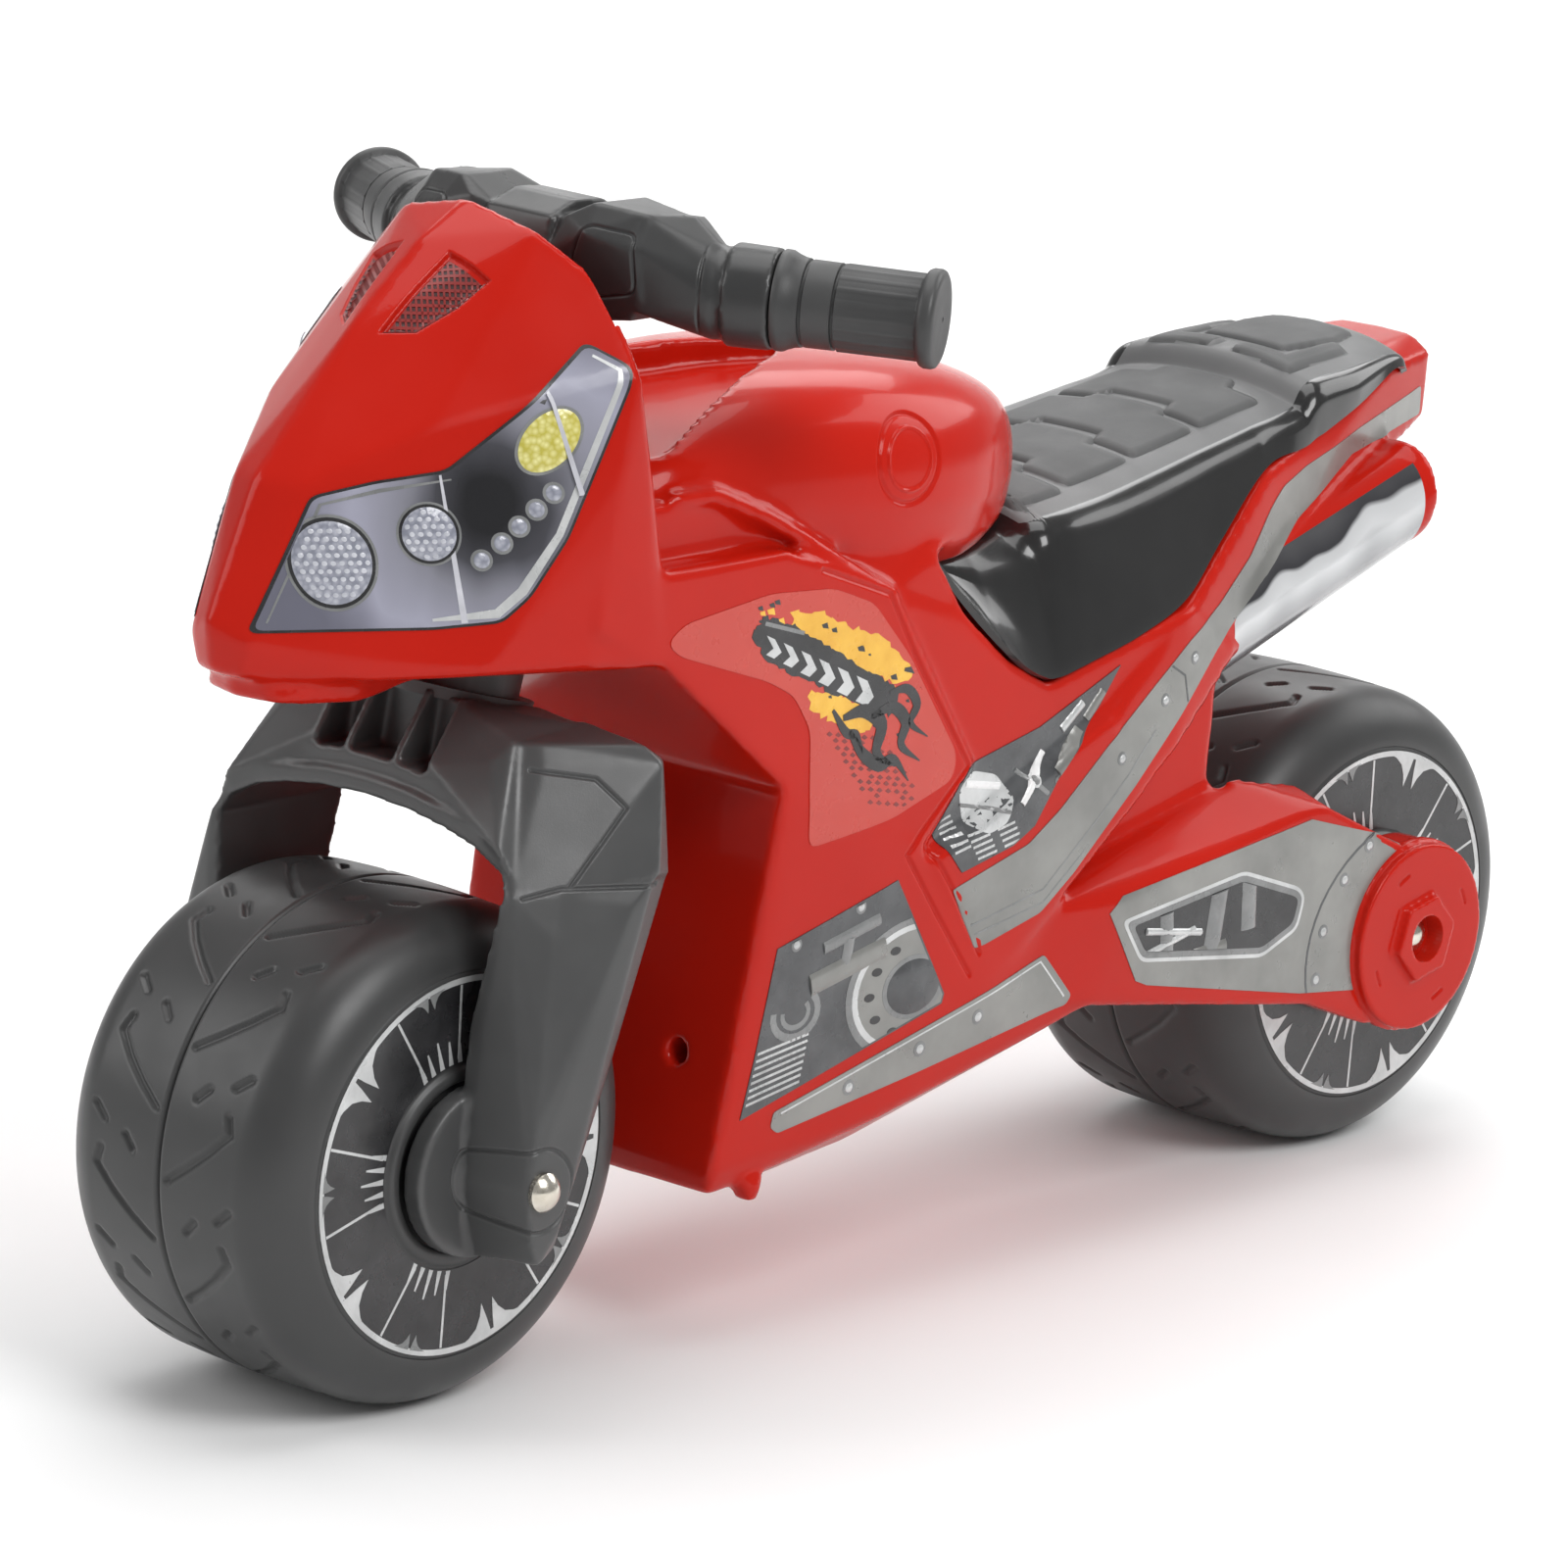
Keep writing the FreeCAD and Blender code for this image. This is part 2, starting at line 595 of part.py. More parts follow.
FILMS = {
    "headlight_decal": ("cowl", [(-338, 306), (-318, 355), (-279, 363), (-230, 407), (-213, 396),
                                 (-232, 347), (-256, 308)]),
    "side_decal": ("panel", [(-185, 291), (-107, 300), (-24, 209), (-40, 186), (-99, 196)]),
    "engine_decal_upper": ("panel", [(72, 240), (-14, 214), (-31, 191), (-16, 175), (68, 224)]),
    "engine_decal_lower": ("panel", [(-117, 163), (-51, 177), (-23, 126), (-129, 96)]),
    "sill_decal": ("panel", [(-117, 92), (-10, 122), (20, 121), (36, 107), (-113, 82)]),
    "frame_decal_lower": ("ridge", [(-18, 166), (68, 212), (104, 233), (112, 214), (50, 165),
                                    (-1, 143)]),
    "frame_decal_upper": ("tail", [(140, 256), (181, 283), (215, 297), (306, 318), (305, 305),
                                   (203, 275), (157, 243), (146, 235)]),
}


def film(name, lobe_name, side, outside):
    """A printed film lying on the side of a lobe."""
    thickness = S["decal_thickness"]
    grown = lobe(name + "_skin", inset=-thickness, **LOBES[lobe_name])
    stamp = across(name + "_stamp", side, 5, FAR)
    pair(boolean("Cut", name, boolean("Common", name + "_blank", grown, stamp), outside), name)


def arm_films(outside):
    """The film on each rear arm, ending around the hub cover."""
    face = ARM_FACE
    blank = across("arm_film_blank", [(72, 140), (193, 160), (245, 138), (216, 83), (98, 109)],
                   face, face + S["decal_thickness"])
    cover = cross_rod("arm_film_round", S["hub_cover_radius"] - 2.6, face - 1, face + 1,
                      REAR_AXLE_Y, AXLE_Z)
    pair(boolean("Cut", "arm_film", blank, cover, outside), "arm_decal")


def pipe_films(outside):
    """The bright film around each exhaust pipe."""
    wrap = pipe("pipe_wrap", S["pipe_offset"], S["pipe_radius"] + S["decal_thickness"], 80, 140)
    limit = upward("pipe_wrap_limit", [(0, 0), (FAR, 0), (FAR, FAR), (0, FAR)], 0, FAR)
    pair(boolean("Cut", "pipe_film", boolean("Common", "pipe_film_blank", wrap, limit), outside),
         "exhaust_decal")


def vents(outside):
    """The dark mesh panels on top of the cowl."""
    grown = lobe("vent_skin", inset=-S["decal_thickness"], **LOBES["cowl"])
    stamp = upward("vent_stamp", [(10, -238), (34, -240), (22, -268), (10, -274)], 380, FAR)
    pair(boolean("Cut", "vent", boolean("Common", "vent_blank", grown, stamp), outside),
         "vent_mesh")


# ---------------------------------------------------------------- assembly

def build():
    outside = body_solid("_outside")
    body_shell(outside)
    seat()
    steering_sleeve()
    fork()
    steering_bolt()
    handlebar()
    grips()
    for end, y, gap, reach in (("front", FRONT_AXLE_Y, S["fork_inner"], S["fork_outer"]),
                               ("rear", REAR_AXLE_Y, S["arm_inner"], ARM_FACE)):
        wheel(end, y)
        bush(end, gap, y)
        labels(end, y)
        axle(end, reach, y)
    hub_covers()
    for name, (lobe_name, side) in FILMS.items():
        film(name, lobe_name, side, outside)
    arm_films(outside)
    pipe_films(outside)
    vents(outside)
    doc.recompute()


def check_and_export():
    """Stops on anything broken, then writes one file for each sub-part."""
    for obj in doc.Objects:
        if {"Invalid", "Error"} & set(obj.State):
            raise RuntimeError(f"{obj.Name} is broken: {obj.State}")
    os.makedirs("parts", exist_ok=True)
    for obj in NODES:
        if obj.Shape.isNull() or not obj.Shape.isValid() or not obj.Shape.Solids:
            raise RuntimeError(f"{obj.Label} has no sound shape")
        obj.Shape.exportStep(f"parts/{obj.Label}.step")
        print(f"{obj.Label}: {len(obj.Shape.Solids)} solid(s), {obj.Shape.Volume:.0f} mm3")


build()
check_and_export()
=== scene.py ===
"""The visual model of the ride-on toy motorcycle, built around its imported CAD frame.

Shapes are given in millimetres, +Z up, the front towards -Y and the rider's left towards +X.
"""
import math

import bmesh
import bpy
import numpy as np
from mathutils import Matrix, Vector
from mathutils.bvhtree import BVHTree
from mathutils.geometry import delaunay_2d_cdt


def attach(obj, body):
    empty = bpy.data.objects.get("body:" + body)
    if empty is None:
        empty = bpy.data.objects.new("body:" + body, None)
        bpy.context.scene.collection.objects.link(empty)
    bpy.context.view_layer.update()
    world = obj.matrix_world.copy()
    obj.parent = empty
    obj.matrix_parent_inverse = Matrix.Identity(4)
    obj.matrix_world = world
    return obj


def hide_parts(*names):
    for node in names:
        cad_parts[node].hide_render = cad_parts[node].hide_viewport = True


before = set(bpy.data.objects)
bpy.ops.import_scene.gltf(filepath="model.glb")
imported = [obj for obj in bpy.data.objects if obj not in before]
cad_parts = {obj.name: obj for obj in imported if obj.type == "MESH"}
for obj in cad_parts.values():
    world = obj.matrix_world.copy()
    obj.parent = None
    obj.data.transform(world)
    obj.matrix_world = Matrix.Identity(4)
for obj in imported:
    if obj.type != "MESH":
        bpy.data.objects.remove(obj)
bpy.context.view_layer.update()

MM = 0.001
FRONT_HUB = (-267, 98)
REAR_HUB = (267, 98)


# ---------------------------------------------------------------- node materials

class Shader:
    """Writes a node tree in a few words."""

    def __init__(self, name):
        self.material = bpy.data.materials.new(name)
        self.material.use_nodes = True
        self.tree = self.material.node_tree
        self.tree.nodes.clear()
        self.out = self.add("ShaderNodeOutputMaterial")
        self.principled = self.add("ShaderNodeBsdfPrincipled")
        self.link(self.principled.outputs["BSDF"], self.out.inputs["Surface"])
        self.place = self.add("ShaderNodeTexCoord").outputs["Object"]

    def add(self, kind, **settings):
        made = self.tree.nodes.new(kind)
        for key, value in settings.items():
            setattr(made, key, value)
        return made

    def link(self, a, b):
        self.tree.links.new(a, b)

    def feed(self, node, name, value):
        socket = node.inputs[name]
        if isinstance(value, bpy.types.NodeSocket):
            self.link(value, socket)
        else:
            socket.default_value = value

    def math(self, operation, a, b):
        made = self.add("ShaderNodeMath", operation=operation)
        self.feed(made, 0, a)
        self.feed(made, 1, b)
        return made.outputs[0]

    def noise(self, scale, detail, roughness=0.5, where=None):
        made = self.add("ShaderNodeTexNoise")
        self.link(where or self.place, made.inputs["Vector"])
        made.inputs["Scale"].default_value = scale
        made.inputs["Detail"].default_value = detail
        made.inputs["Roughness"].default_value = roughness
        return made.outputs["Fac"]

    def stretch(self, scale):
        """The object's coordinates, stretched."""
        made = self.add("ShaderNodeMapping")
        self.link(self.place, made.inputs["Vector"])
        made.inputs["Scale"].default_value = scale
        return made.outputs["Vector"]

    def ramp(self, value, stops):
        """Turns a value into colours, or grey levels, by stops of (value, colour or level)."""
        made = self.add("ShaderNodeValToRGB")
        self.link(value, made.inputs["Fac"])
        elements = made.color_ramp.elements
        while len(elements) < len(stops):
            elements.new(0.5)
        for element, (at, colour) in zip(elements, stops):
            element.position = at
            level = colour if isinstance(colour, tuple) else (colour, colour, colour)
            element.color = (*level, 1)
        return made.outputs["Color"]

    def mix(self, factor, a, b):
        made = self.add("ShaderNodeMix", data_type="RGBA")
        for index, value in ((0, factor), (6, a), (7, b)):
            if isinstance(value, bpy.types.NodeSocket):
                self.link(value, made.inputs[index])
            else:
                made.inputs[index].default_value = value if index == 0 else (*value, 1)
        return made.outputs[2]

    def edge_wear(self, low=0.50, high=0.56):
        """White where the surface is convex."""
        pointiness = self.add("ShaderNodeNewGeometry").outputs["Pointiness"]
        return self.ramp(pointiness, [(low, 0.0), (high, 1.0)])

    def bump(self, height, strength, distance, before=None):
        made = self.add("ShaderNodeBump")
        made.inputs["Strength"].default_value = strength
        made.inputs["Distance"].default_value = distance
        self.link(height, made.inputs["Height"])
        if before:
            self.link(before, made.inputs["Normal"])
        self.link(made.outputs["Normal"], self.principled.inputs["Normal"])
        return made.outputs["Normal"]

    def colour(self, value):
        self.feed(self.principled, "Base Color", value)

    def rough(self, value):
        self.feed(self.principled, "Roughness", value)

    def rough_patches(self, scale, detail, low, high, full=0.7):
        """Roughness that wanders between two values."""
        self.rough(self.ramp(self.noise(scale, detail), [(0.3, low), (full, high)]))

    def grain(self, scale, strength):
        """A fine surface grain."""
        self.bump(self.noise(scale, 2), strength, 0.0002)

    def set(self, **values):
        for key, value in values.items():
            self.principled.inputs[key.replace("_", " ")].default_value = value


def red_plastic(name="red_moulded_plastic"):
    """Glossy blow-moulded polyethylene, a little wavy, with faint scuffs on its edges."""
    s = Shader(name)
    tone = s.ramp(s.noise(9, 3), [(0.3, (0.455, 0.0095, 0.0035)), (0.7, (0.505, 0.0125, 0.0050))])
    scuffed = s.mix(s.math("MULTIPLY", s.edge_wear(0.52, 0.62), 0.20), tone, (0.64, 0.048, 0.026))
    s.colour(scuffed)
    s.rough_patches(28, 4, 0.15, 0.27, 0.8)
    wave = s.bump(s.noise(16, 2), 0.25, 0.0016)
    s.bump(s.noise(700, 2), 0.05, 0.0002, wave)
    s.set(IOR=1.5, Specular_IOR_Level=0.12, Coat_Weight=0.18, Coat_Roughness=0.03)
    return s.material


def dark_plastic(name, level, roughness, grain=0.10, **settings):
    """Charcoal moulded plastic with a fine grain, paler where edges are rubbed."""
    s = Shader(name)
    low, high = level * 0.86, level * 1.14
    tone = s.ramp(s.noise(14, 4), [(0.3, (low, low * 1.01, low * 1.02)),
                                   (0.7, (high, high * 1.01, high * 1.02))])
    s.colour(s.mix(s.math("MULTIPLY", s.edge_wear(), 0.35), tone, (level * 2.2,) * 3))
    s.rough_patches(45, 4, *roughness, 0.75)
    broad = s.bump(s.noise(24, 2), 0.15, 0.0012)
    s.bump(s.noise(1500, 3, 0.7), grain, 0.0003, broad)
    s.set(IOR=1.49, **settings)
    return s.material


def steel():
    """Bright zinc-plated steel with fine turning marks."""
    s = Shader("bright_steel")
    s.colour(s.ramp(s.noise(160, 3), [(0.3, (0.60, 0.56, 0.47)), (0.7, (0.78, 0.74, 0.66))]))
    s.rough_patches(400, 2, 0.14, 0.28)
    s.grain(900, 0.08)
    s.set(Metallic=1.0)
    return s.material


RED = red_plastic()
STEEL = steel()


# ---------------------------------------------------------------- mesh building

def linked(name, data):
    """A new object in the scene."""
    obj = bpy.data.objects.new(name, data)
    bpy.context.scene.collection.objects.link(obj)
    return obj


def new_object(name, mesh, *materials):
    """A smooth-shaded object with its materials in order."""
    for material in materials:
        mesh.materials.append(material)
    mesh.shade_smooth()
    return linked(name, mesh)


def hull(target, points, mirror=True):
    """Adds the convex hull of some points, in millimetres, with their mirror images if asked."""
    corners = [Vector(p) for p in points]
    if mirror:
        corners += [Vector((-x, y, z)) for x, y, z in points]
    piece = bmesh.new()
    for p in corners:
        piece.verts.new(p * MM)
    bmesh.ops.remove_doubles(piece, verts=piece.verts, dist=1e-6)
    made = bmesh.ops.convex_hull(piece, input=piece.verts)
    loose = [v for v in made["geom_interior"] if isinstance(v, bmesh.types.BMVert)]
    bmesh.ops.delete(piece, geom=loose, context="VERTS")
    bmesh.ops.recalc_face_normals(piece, faces=piece.faces)
    mesh = bpy.data.meshes.new("hull")
    piece.to_mesh(mesh)
    piece.free()
    target.from_mesh(mesh)
    bpy.data.meshes.remove(mesh)


def sides(target, points):
    """A hull on the rider's left and its mirror image on the right."""
    hull(target, points, mirror=False)
    hull(target, [(-x, y, z) for x, y, z in points], mirror=False)


def slab(outline, near, far):
    """The corner points of a side outline (y, z) at two distances from the middle plane."""
    return [(x, y, z) for y, z in outline for x in (near, far)]


def ring_points(centre, along, radius, count=40):
    """Points on a circle around a direction."""
    along = Vector(along).normalized()
    across = along.orthogonal().normalized()
    third = along.cross(across)
    return [Vector(centre) + (across * math.cos(t) + third * math.sin(t)) * radius
            for t in (2 * math.pi * i / count for i in range(count))]


def round_bar(start, end, radius, end_radius=None):
    """The points of a straight bar's two round ends, for a hull."""
    along = Vector(end) - Vector(start)
    return [tuple(p) for p in ring_points(start, along, radius)
            + ring_points(end, along, end_radius or radius)]


def applied(obj):
    """The object's mesh with its modifiers worked in."""
    graph = bpy.context.evaluated_depsgraph_get()
    mesh = bpy.data.meshes.new_from_object(obj.evaluated_get(graph))
    old = obj.data
    obj.modifiers.clear()
    obj.data = mesh
    bpy.data.meshes.remove(old)
    return obj


def fused(name, solid, voxel, rounds, *materials):
    """One softly rounded skin around all the hulls in a bmesh; the voxel size is in mm."""
    mesh = bpy.data.meshes.new(name)
    solid.to_mesh(mesh)
    solid.free()
    return softened(new_object(name, mesh, *materials), voxel, rounds)


def softened(obj, voxel, rounds):
    """Wraps an object in one new skin and rounds its edges off."""
    remesh = obj.modifiers.new("remesh", "REMESH")
    remesh.mode = "VOXEL"
    remesh.voxel_size = voxel * MM
    remesh.use_smooth_shade = True
    soften = obj.modifiers.new("soften", "SMOOTH")
    soften.factor = 0.5
    soften.iterations = rounds
    return applied(obj)


def carve(obj, tool):
    """Cuts all the hulls in a bmesh out of an object."""
    mesh = bpy.data.meshes.new("cutter")
    tool.to_mesh(mesh)
    tool.free()
    cutter = linked("cutter", mesh)
    cut = obj.modifiers.new("cut", "BOOLEAN")
    cut.operation = "DIFFERENCE"
    cut.solver = "EXACT"
    cut.object = cutter
    applied(obj)
    bpy.data.objects.remove(cutter)
    bpy.data.meshes.remove(mesh)


def tree_of(obj):
    """The object's surface, ready for rays."""
    graph = bpy.context.evaluated_depsgraph_get()
    return BVHTree.FromObject(obj, graph)


def rows_of(source, attribute):
    """The positions or normals of a mesh's points as rows of numbers."""
    values = np.empty(len(source) * 3, np.float32)
    source.foreach_get(attribute, values)
    return values.reshape(-1, 3).astype(float)


def shape_of(mesh):
    """The positions and the normals of a mesh's points."""
    return rows_of(mesh.vertices, "co"), rows_of(mesh.vertex_normals, "vector")


def reshape(mesh, points):
    """Moves a mesh's points to new positions."""
    mesh.vertices.foreach_set("co", points.astype(np.float32).ravel())
    mesh.update()


def distance_to(points, line):
    """How far each point is from a polyline."""
    nearest = np.full(len(points), 1e9)
    for a, b in zip(line[:-1], line[1:]):
        along = b - a
        t = np.clip(((points - a) @ along) / max(along @ along, 1e-18), 0, 1)
        nearest = np.minimum(nearest, np.linalg.norm(points - a - t[:, None] * along, axis=1))
    return nearest


def subdivide_near(obj, lines, reach, cuts):
    """Finer faces within reach of some polylines."""
    form = bmesh.new()
    form.from_mesh(obj.data)
    points = rows_of(obj.data.vertices, "co")
    near = np.zeros(len(points), bool)
    for line in lines:
        box = np.all((points > line.min(0) - reach) & (points < line.max(0) + reach), axis=1)
        chosen = np.flatnonzero(box)
        near[chosen[distance_to(points[chosen], line) < reach]] = True
    form.edges.ensure_lookup_table()
    edges = [e for e in form.edges if near[e.verts[0].index] and near[e.verts[1].index]]
    bmesh.ops.subdivide_edges(form, edges=edges, cuts=cuts, use_grid_fill=True)
    wide = [f for f in form.faces if len(f.verts) > 4]
    bmesh.ops.triangulate(form, faces=wide)
    form.to_mesh(obj.data)
    form.free()


def engrave(obj, lines, width, depth, cuts=2):
    """Presses grooves along polylines (in mm) into a surface; a negative depth raises a bead."""
    lines = [np.array([tuple(p) for p in line], float) * MM for line in lines]
    width, depth = width * MM, depth * MM
    subdivide_near(obj, lines, width * 1.8, cuts)
    points, normals = shape_of(obj.data)
    push = np.zeros(len(points))
    for line in lines:
        box = np.all((points > line.min(0) - width) & (points < line.max(0) + width), axis=1)
        chosen = np.flatnonzero(box)
        t = np.clip(distance_to(points[chosen], line) / (width / 2), 0, 1)
        push[chosen] = np.maximum(push[chosen], (1 - t * t) ** 2)
    points -= normals * (push * depth)[:, None]
    reshape(obj.data, points)


def first_met(tree, axis, start, near):
    """Maps flat coordinates in mm to the point and normal that a ray along an axis meets first.

    The ray starts at one place on the axis; where it misses, the surface nearest to another is used.
    """
    def find(a, b):
        place = [a * MM, b * MM]
        place.insert(axis, start)
        heading = [0, 0, 0]
        heading[axis] = 1 if near > start else -1
        point, normal, *_ = tree.ray_cast(Vector(place), Vector(heading))
        if point is None:
            place[axis] = near
            point, normal, *_ = tree.find_nearest(Vector(place))
        return point / MM, normal
    return find


def onto_side(obj):
    """Finds the outermost surface on the rider's left at (y, z)."""
    return first_met(tree_of(obj), 0, 0.3, 0.07)


def onto_top(obj):
    """Finds the uppermost surface at (x, y)."""
    return first_met(tree_of(obj), 2, 0.6, 0.4)


def onto_front(obj):
    """Finds the foremost surface at (x, z)."""
    return first_met(tree_of(obj), 1, -0.6, -0.19)


def traced(find, corners, step=1.0, closed=False):
    """A fine polyline on a surface through corners given in its flat coordinates."""
    ends = list(corners[1:]) + ([corners[0]] if closed else [])
    line = []
    for (a, b), (c, d) in zip(corners, ends):
        count = max(1, int(math.hypot(c - a, d - b) / step))
        line += [find(a + (c - a) * i / count, b + (d - b) * i / count)[0] for i in range(count)]
    line.append(find(*ends[-1])[0])
    return line


def circle(centre, radius, count=48, squash=1.0, turn=0.0):
    """Points round an ellipse in flat coordinates."""
    a, b = centre
    c, s = math.cos(turn), math.sin(turn)
    ring = ((radius * math.cos(t), radius * squash * math.sin(t))
            for t in (2 * math.pi * i / count for i in range(count)))
    return [(a + u * c - v * s, b + u * s + v * c) for u, v in ring]


def crosses(loop, a, b):
    """Whether a point lies inside a loop."""
    inside = False
    for (u0, v0), (u1, v1) in zip(loop, loop[1:] + loop[:1]):
        if (v0 > b) != (v1 > b) and a < (u1 - u0) * (b - v0) / (v1 - v0) + u0:
            inside = not inside
    return inside


def resampled(loop, step):
    """A loop with its sides divided into steps of about one length."""
    points = []
    for (a, b), (c, d) in zip(loop, loop[1:] + loop[:1]):
        count = max(1, round(math.hypot(c - a, d - b) / step))
        points += [(a + (c - a) * i / count, b + (d - b) * i / count) for i in range(count)]
    return points


def softened_corners(loop, radius, count=5):
    """A loop with its corners rounded off."""
    points = []
    for before, here, after in zip(loop[-1:] + loop[:-1], loop, loop[1:] + loop[:1]):
        here = Vector(here)
        legs = [Vector(before) - here, Vector(after) - here]
        a, b = (here + leg.normalized() * min(radius, leg.length * 0.45) for leg in legs)
        for i in range(count):
            t = i / (count - 1)
            points.append(tuple(a * (1 - t) ** 2 + here * 2 * t * (1 - t) + b * t * t))
    return points


def mirrored(obj, name):
    """The same piece on the rider's right."""
    mesh = obj.data.copy()
    mesh.transform(Matrix.Diagonal((-1, 1, 1, 1)))
    mesh.flip_normals()
    return linked(name, mesh)


def both(lines):
    """Some polylines and their mirror images."""
    lines = list(lines)
    return lines + [[(-p[0], p[1], p[2]) for p in line] for line in lines]


def joins(obj, body, slot, *nodes):
    """Says which body a piece rides on and what it replaces; its slot is not used."""
    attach(obj, body)
    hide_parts(*nodes)


def joins_twice(left, body, slot, *nodes):
    """Joins a piece on the rider's left and its mirror image on the right."""
    right = mirrored(left, left.name.replace("_left", "_right"))
    for obj, side in ((right, "_right"), (left, "_left")):
        joins(obj, body, slot, *(node + side for node in nodes))


# ---------------------------------------------------------------- body

def through(keys, at):
    """A smooth curve through rows (position, value, value, ...), read at one position."""
    rows = np.array(keys, float)
    i = int(np.clip(np.searchsorted(rows[:, 0], at) - 1, 0, len(rows) - 2))
    before, a, b, after = (rows[int(np.clip(i + k, 0, len(rows) - 1))] for k in (-1, 0, 1, 2))
    t = (at - a[0]) / (b[0] - a[0])
    rise_a = (b - before) / max(b[0] - before[0], 1e-9) * (b[0] - a[0])
    rise_b = (after - a) / max(after[0] - a[0], 1e-9) * (b[0] - a[0])
    return (a * (2 * t**3 - 3 * t**2 + 1) + rise_a * (t**3 - 2 * t**2 + t)
            + b * (3 * t**2 - 2 * t**3) + rise_b * (t**3 - t**2))[1:]


# the tank, front to back: y, half width, top, bottom
TANK = [(-186, 56, 353, 318), (-166, 63, 363, 314), (-130, 69, 371, 308), (-90, 74, 375, 303),
        (-45, 76, 374, 296), (-5, 70, 369, 292), (25, 58, 361, 296), (46, 43, 352, 303),
        (60, 25, 342, 309), (66, 12, 334, 313)]
TANK_SQUARENESS = 0.64  # 1 is an oval section, less is squarer


def tank_section(y):
    """A rounded slice of the tank."""
    half, top, bottom = through(TANK, y)
    middle = bottom + (top - bottom) * 0.34
    points = []
    for i in range(15):
        t = math.pi / 2 * i / 14
        points.append((half * math.sin(t) ** TANK_SQUARENESS, y,
                       middle + (top - middle) * math.cos(t) ** TANK_SQUARENESS))
    points.append((half * 0.95, y, bottom + (middle - bottom) * 0.35))
    points.append((half * 0.84, y, bottom))
    return points


def tank(solid):
    stations = np.linspace(TANK[0][0], TANK[-1][0], 37)
    for a, b in zip(stations, stations[1:]):
        hull(solid, tank_section(a) + tank_section(b))


# the raised line from the neck down over the side panel
SHOULDER = [(65, -172, 340), (68, -152, 340), (72, -126, 328), (75, -98, 312), (76, -60, 290)]


EXHAUST_START, EXHAUST_END, EXHAUST_RISE = 150, 284, 42


def exhaust_axis(y):
    """The middle and the radius of an exhaust pipe on the rider's left at a distance along it."""
    t = (y - EXHAUST_START) / (EXHAUST_END - EXHAUST_START)
    return Vector((48 + 2 * t, y, 238 + EXHAUST_RISE * t)), 22.4 - 2.6 * t


def exhaust_ring(sign, y, more):
    """An upright section of the exhaust pipe on one side, with more or less radius."""
    centre, radius = exhaust_axis(y)
    radius += more
    return [(sign * (centre.x + radius * math.cos(t)), y, centre.z + radius * 1.04 * math.sin(t))
            for t in np.linspace(0, 2 * math.pi, 48, endpoint=False)]


def cowl(solid):
    hull(solid, [(0, -219, 450), (0, -243, 437), (0, -278, 408), (0, -325, 357), (0, -347, 306),
                 (0, -344, 287), (34, -217, 443), (58, -205, 426), (82, -208, 396), (82, -215, 360),
                 (81, -221, 331), (42, -279, 376), (18, -318, 356), (15, -341, 300), (12, -340, 286),
                 (40, -303, 285), (65, -266, 287), (76, -226, 286), (80, -188, 281), (78, -188, 318),
                 (0, -190, 320), (0, -215, 445), (80, -212, 320)])
    hull(solid, [(0, -340, 298), (0, -333, 276), (20, -328, 276), (30, -297, 274), (34, -300, 290),
                 (24, -255, 277), (0, -255, 277), (28, -258, 290)])


def shelf(solid):
    """The neck and the shelf behind the cowl."""
    hull(solid, slab([(-224, 300), (-222, 318), (-121, 316), (-57, 292), (-60, 270), (-137, 256),
                      (-187, 281)], 0, 80))
    hull(solid, slab([(-225, 300), (-222, 338), (-152, 341), (-128, 333), (-98, 314), (-98, 300)],
                     0, 67))
    for a, b in zip(SHOULDER, SHOULDER[1:]):
        sides(solid, round_bar(a, b, 3.2))


def side_panels(solid):
    hull(solid, slab([(-190, 283), (-190, 310), (-60, 291), (-10, 215), (-38, 186), (-119, 223),
                      (-137, 255)], 0, 80))
    hull(solid, [(0, -119, 224), (80, -119, 224), (0, -38, 190), (81, -38, 187), (82, 0, 124),
                 (0, 0, 124), (79, -117, 184), (0, -110, 184), (0, -118, 116), (76, -126, 116),
                 (0, -136, 66), (72, -143, 72), (77, -50, 80), (68, -140, 62), (60, -55, 66),
                 (0, -55, 64), (0, -135, 60)])
    hull(solid, [(82, 0, 124), (0, 0, 124), (77, -50, 80), (60, -55, 66), (0, -55, 66),
                 (80, 63, 103), (60, 66, 96), (0, 66, 96), (80, 47, 148), (0, 47, 148)])
    hull(solid, slab([(-60, 291), (19, 249), (36, 240), (30, 195), (0, 130), (-38, 187),
                      (-10, 215)], 0, 77))


def flanks(solid):
    """The sides between the tank and the front edge of the seat."""
    hull(solid, slab([(-60, 291), (-34, 302), (-27, 295), (-12, 273), (-20, 262)], 0, 75.5))
    hull(solid, slab([(-60, 291), (-12, 273), (4, 258), (19, 247), (0, 230)], 0, 76.5))
    sides(solid, [(75, -60, 290), (70, -98, 302), (74, -30, 301), (69, -14, 305), (64, 0, 309),
                  (55, 22, 314), (72, -52, 302), (70, -38, 314), (65, -4, 317), (57, 18, 317),
                  (40, -98, 300), (36, 22, 308), (40, -20, 298), (40, 10, 318)])
    hull(solid, slab([(36, 240), (74, 245), (123, 258), (102, 228), (30, 195), (0, 150)], 0, 77))
    # the inner frame between the ridges
    hull(solid, slab([(-60, 262), (150, 258), (158, 232), (150, 180), (150, 112), (60, 100),
                      (-40, 100)], 0, 63))


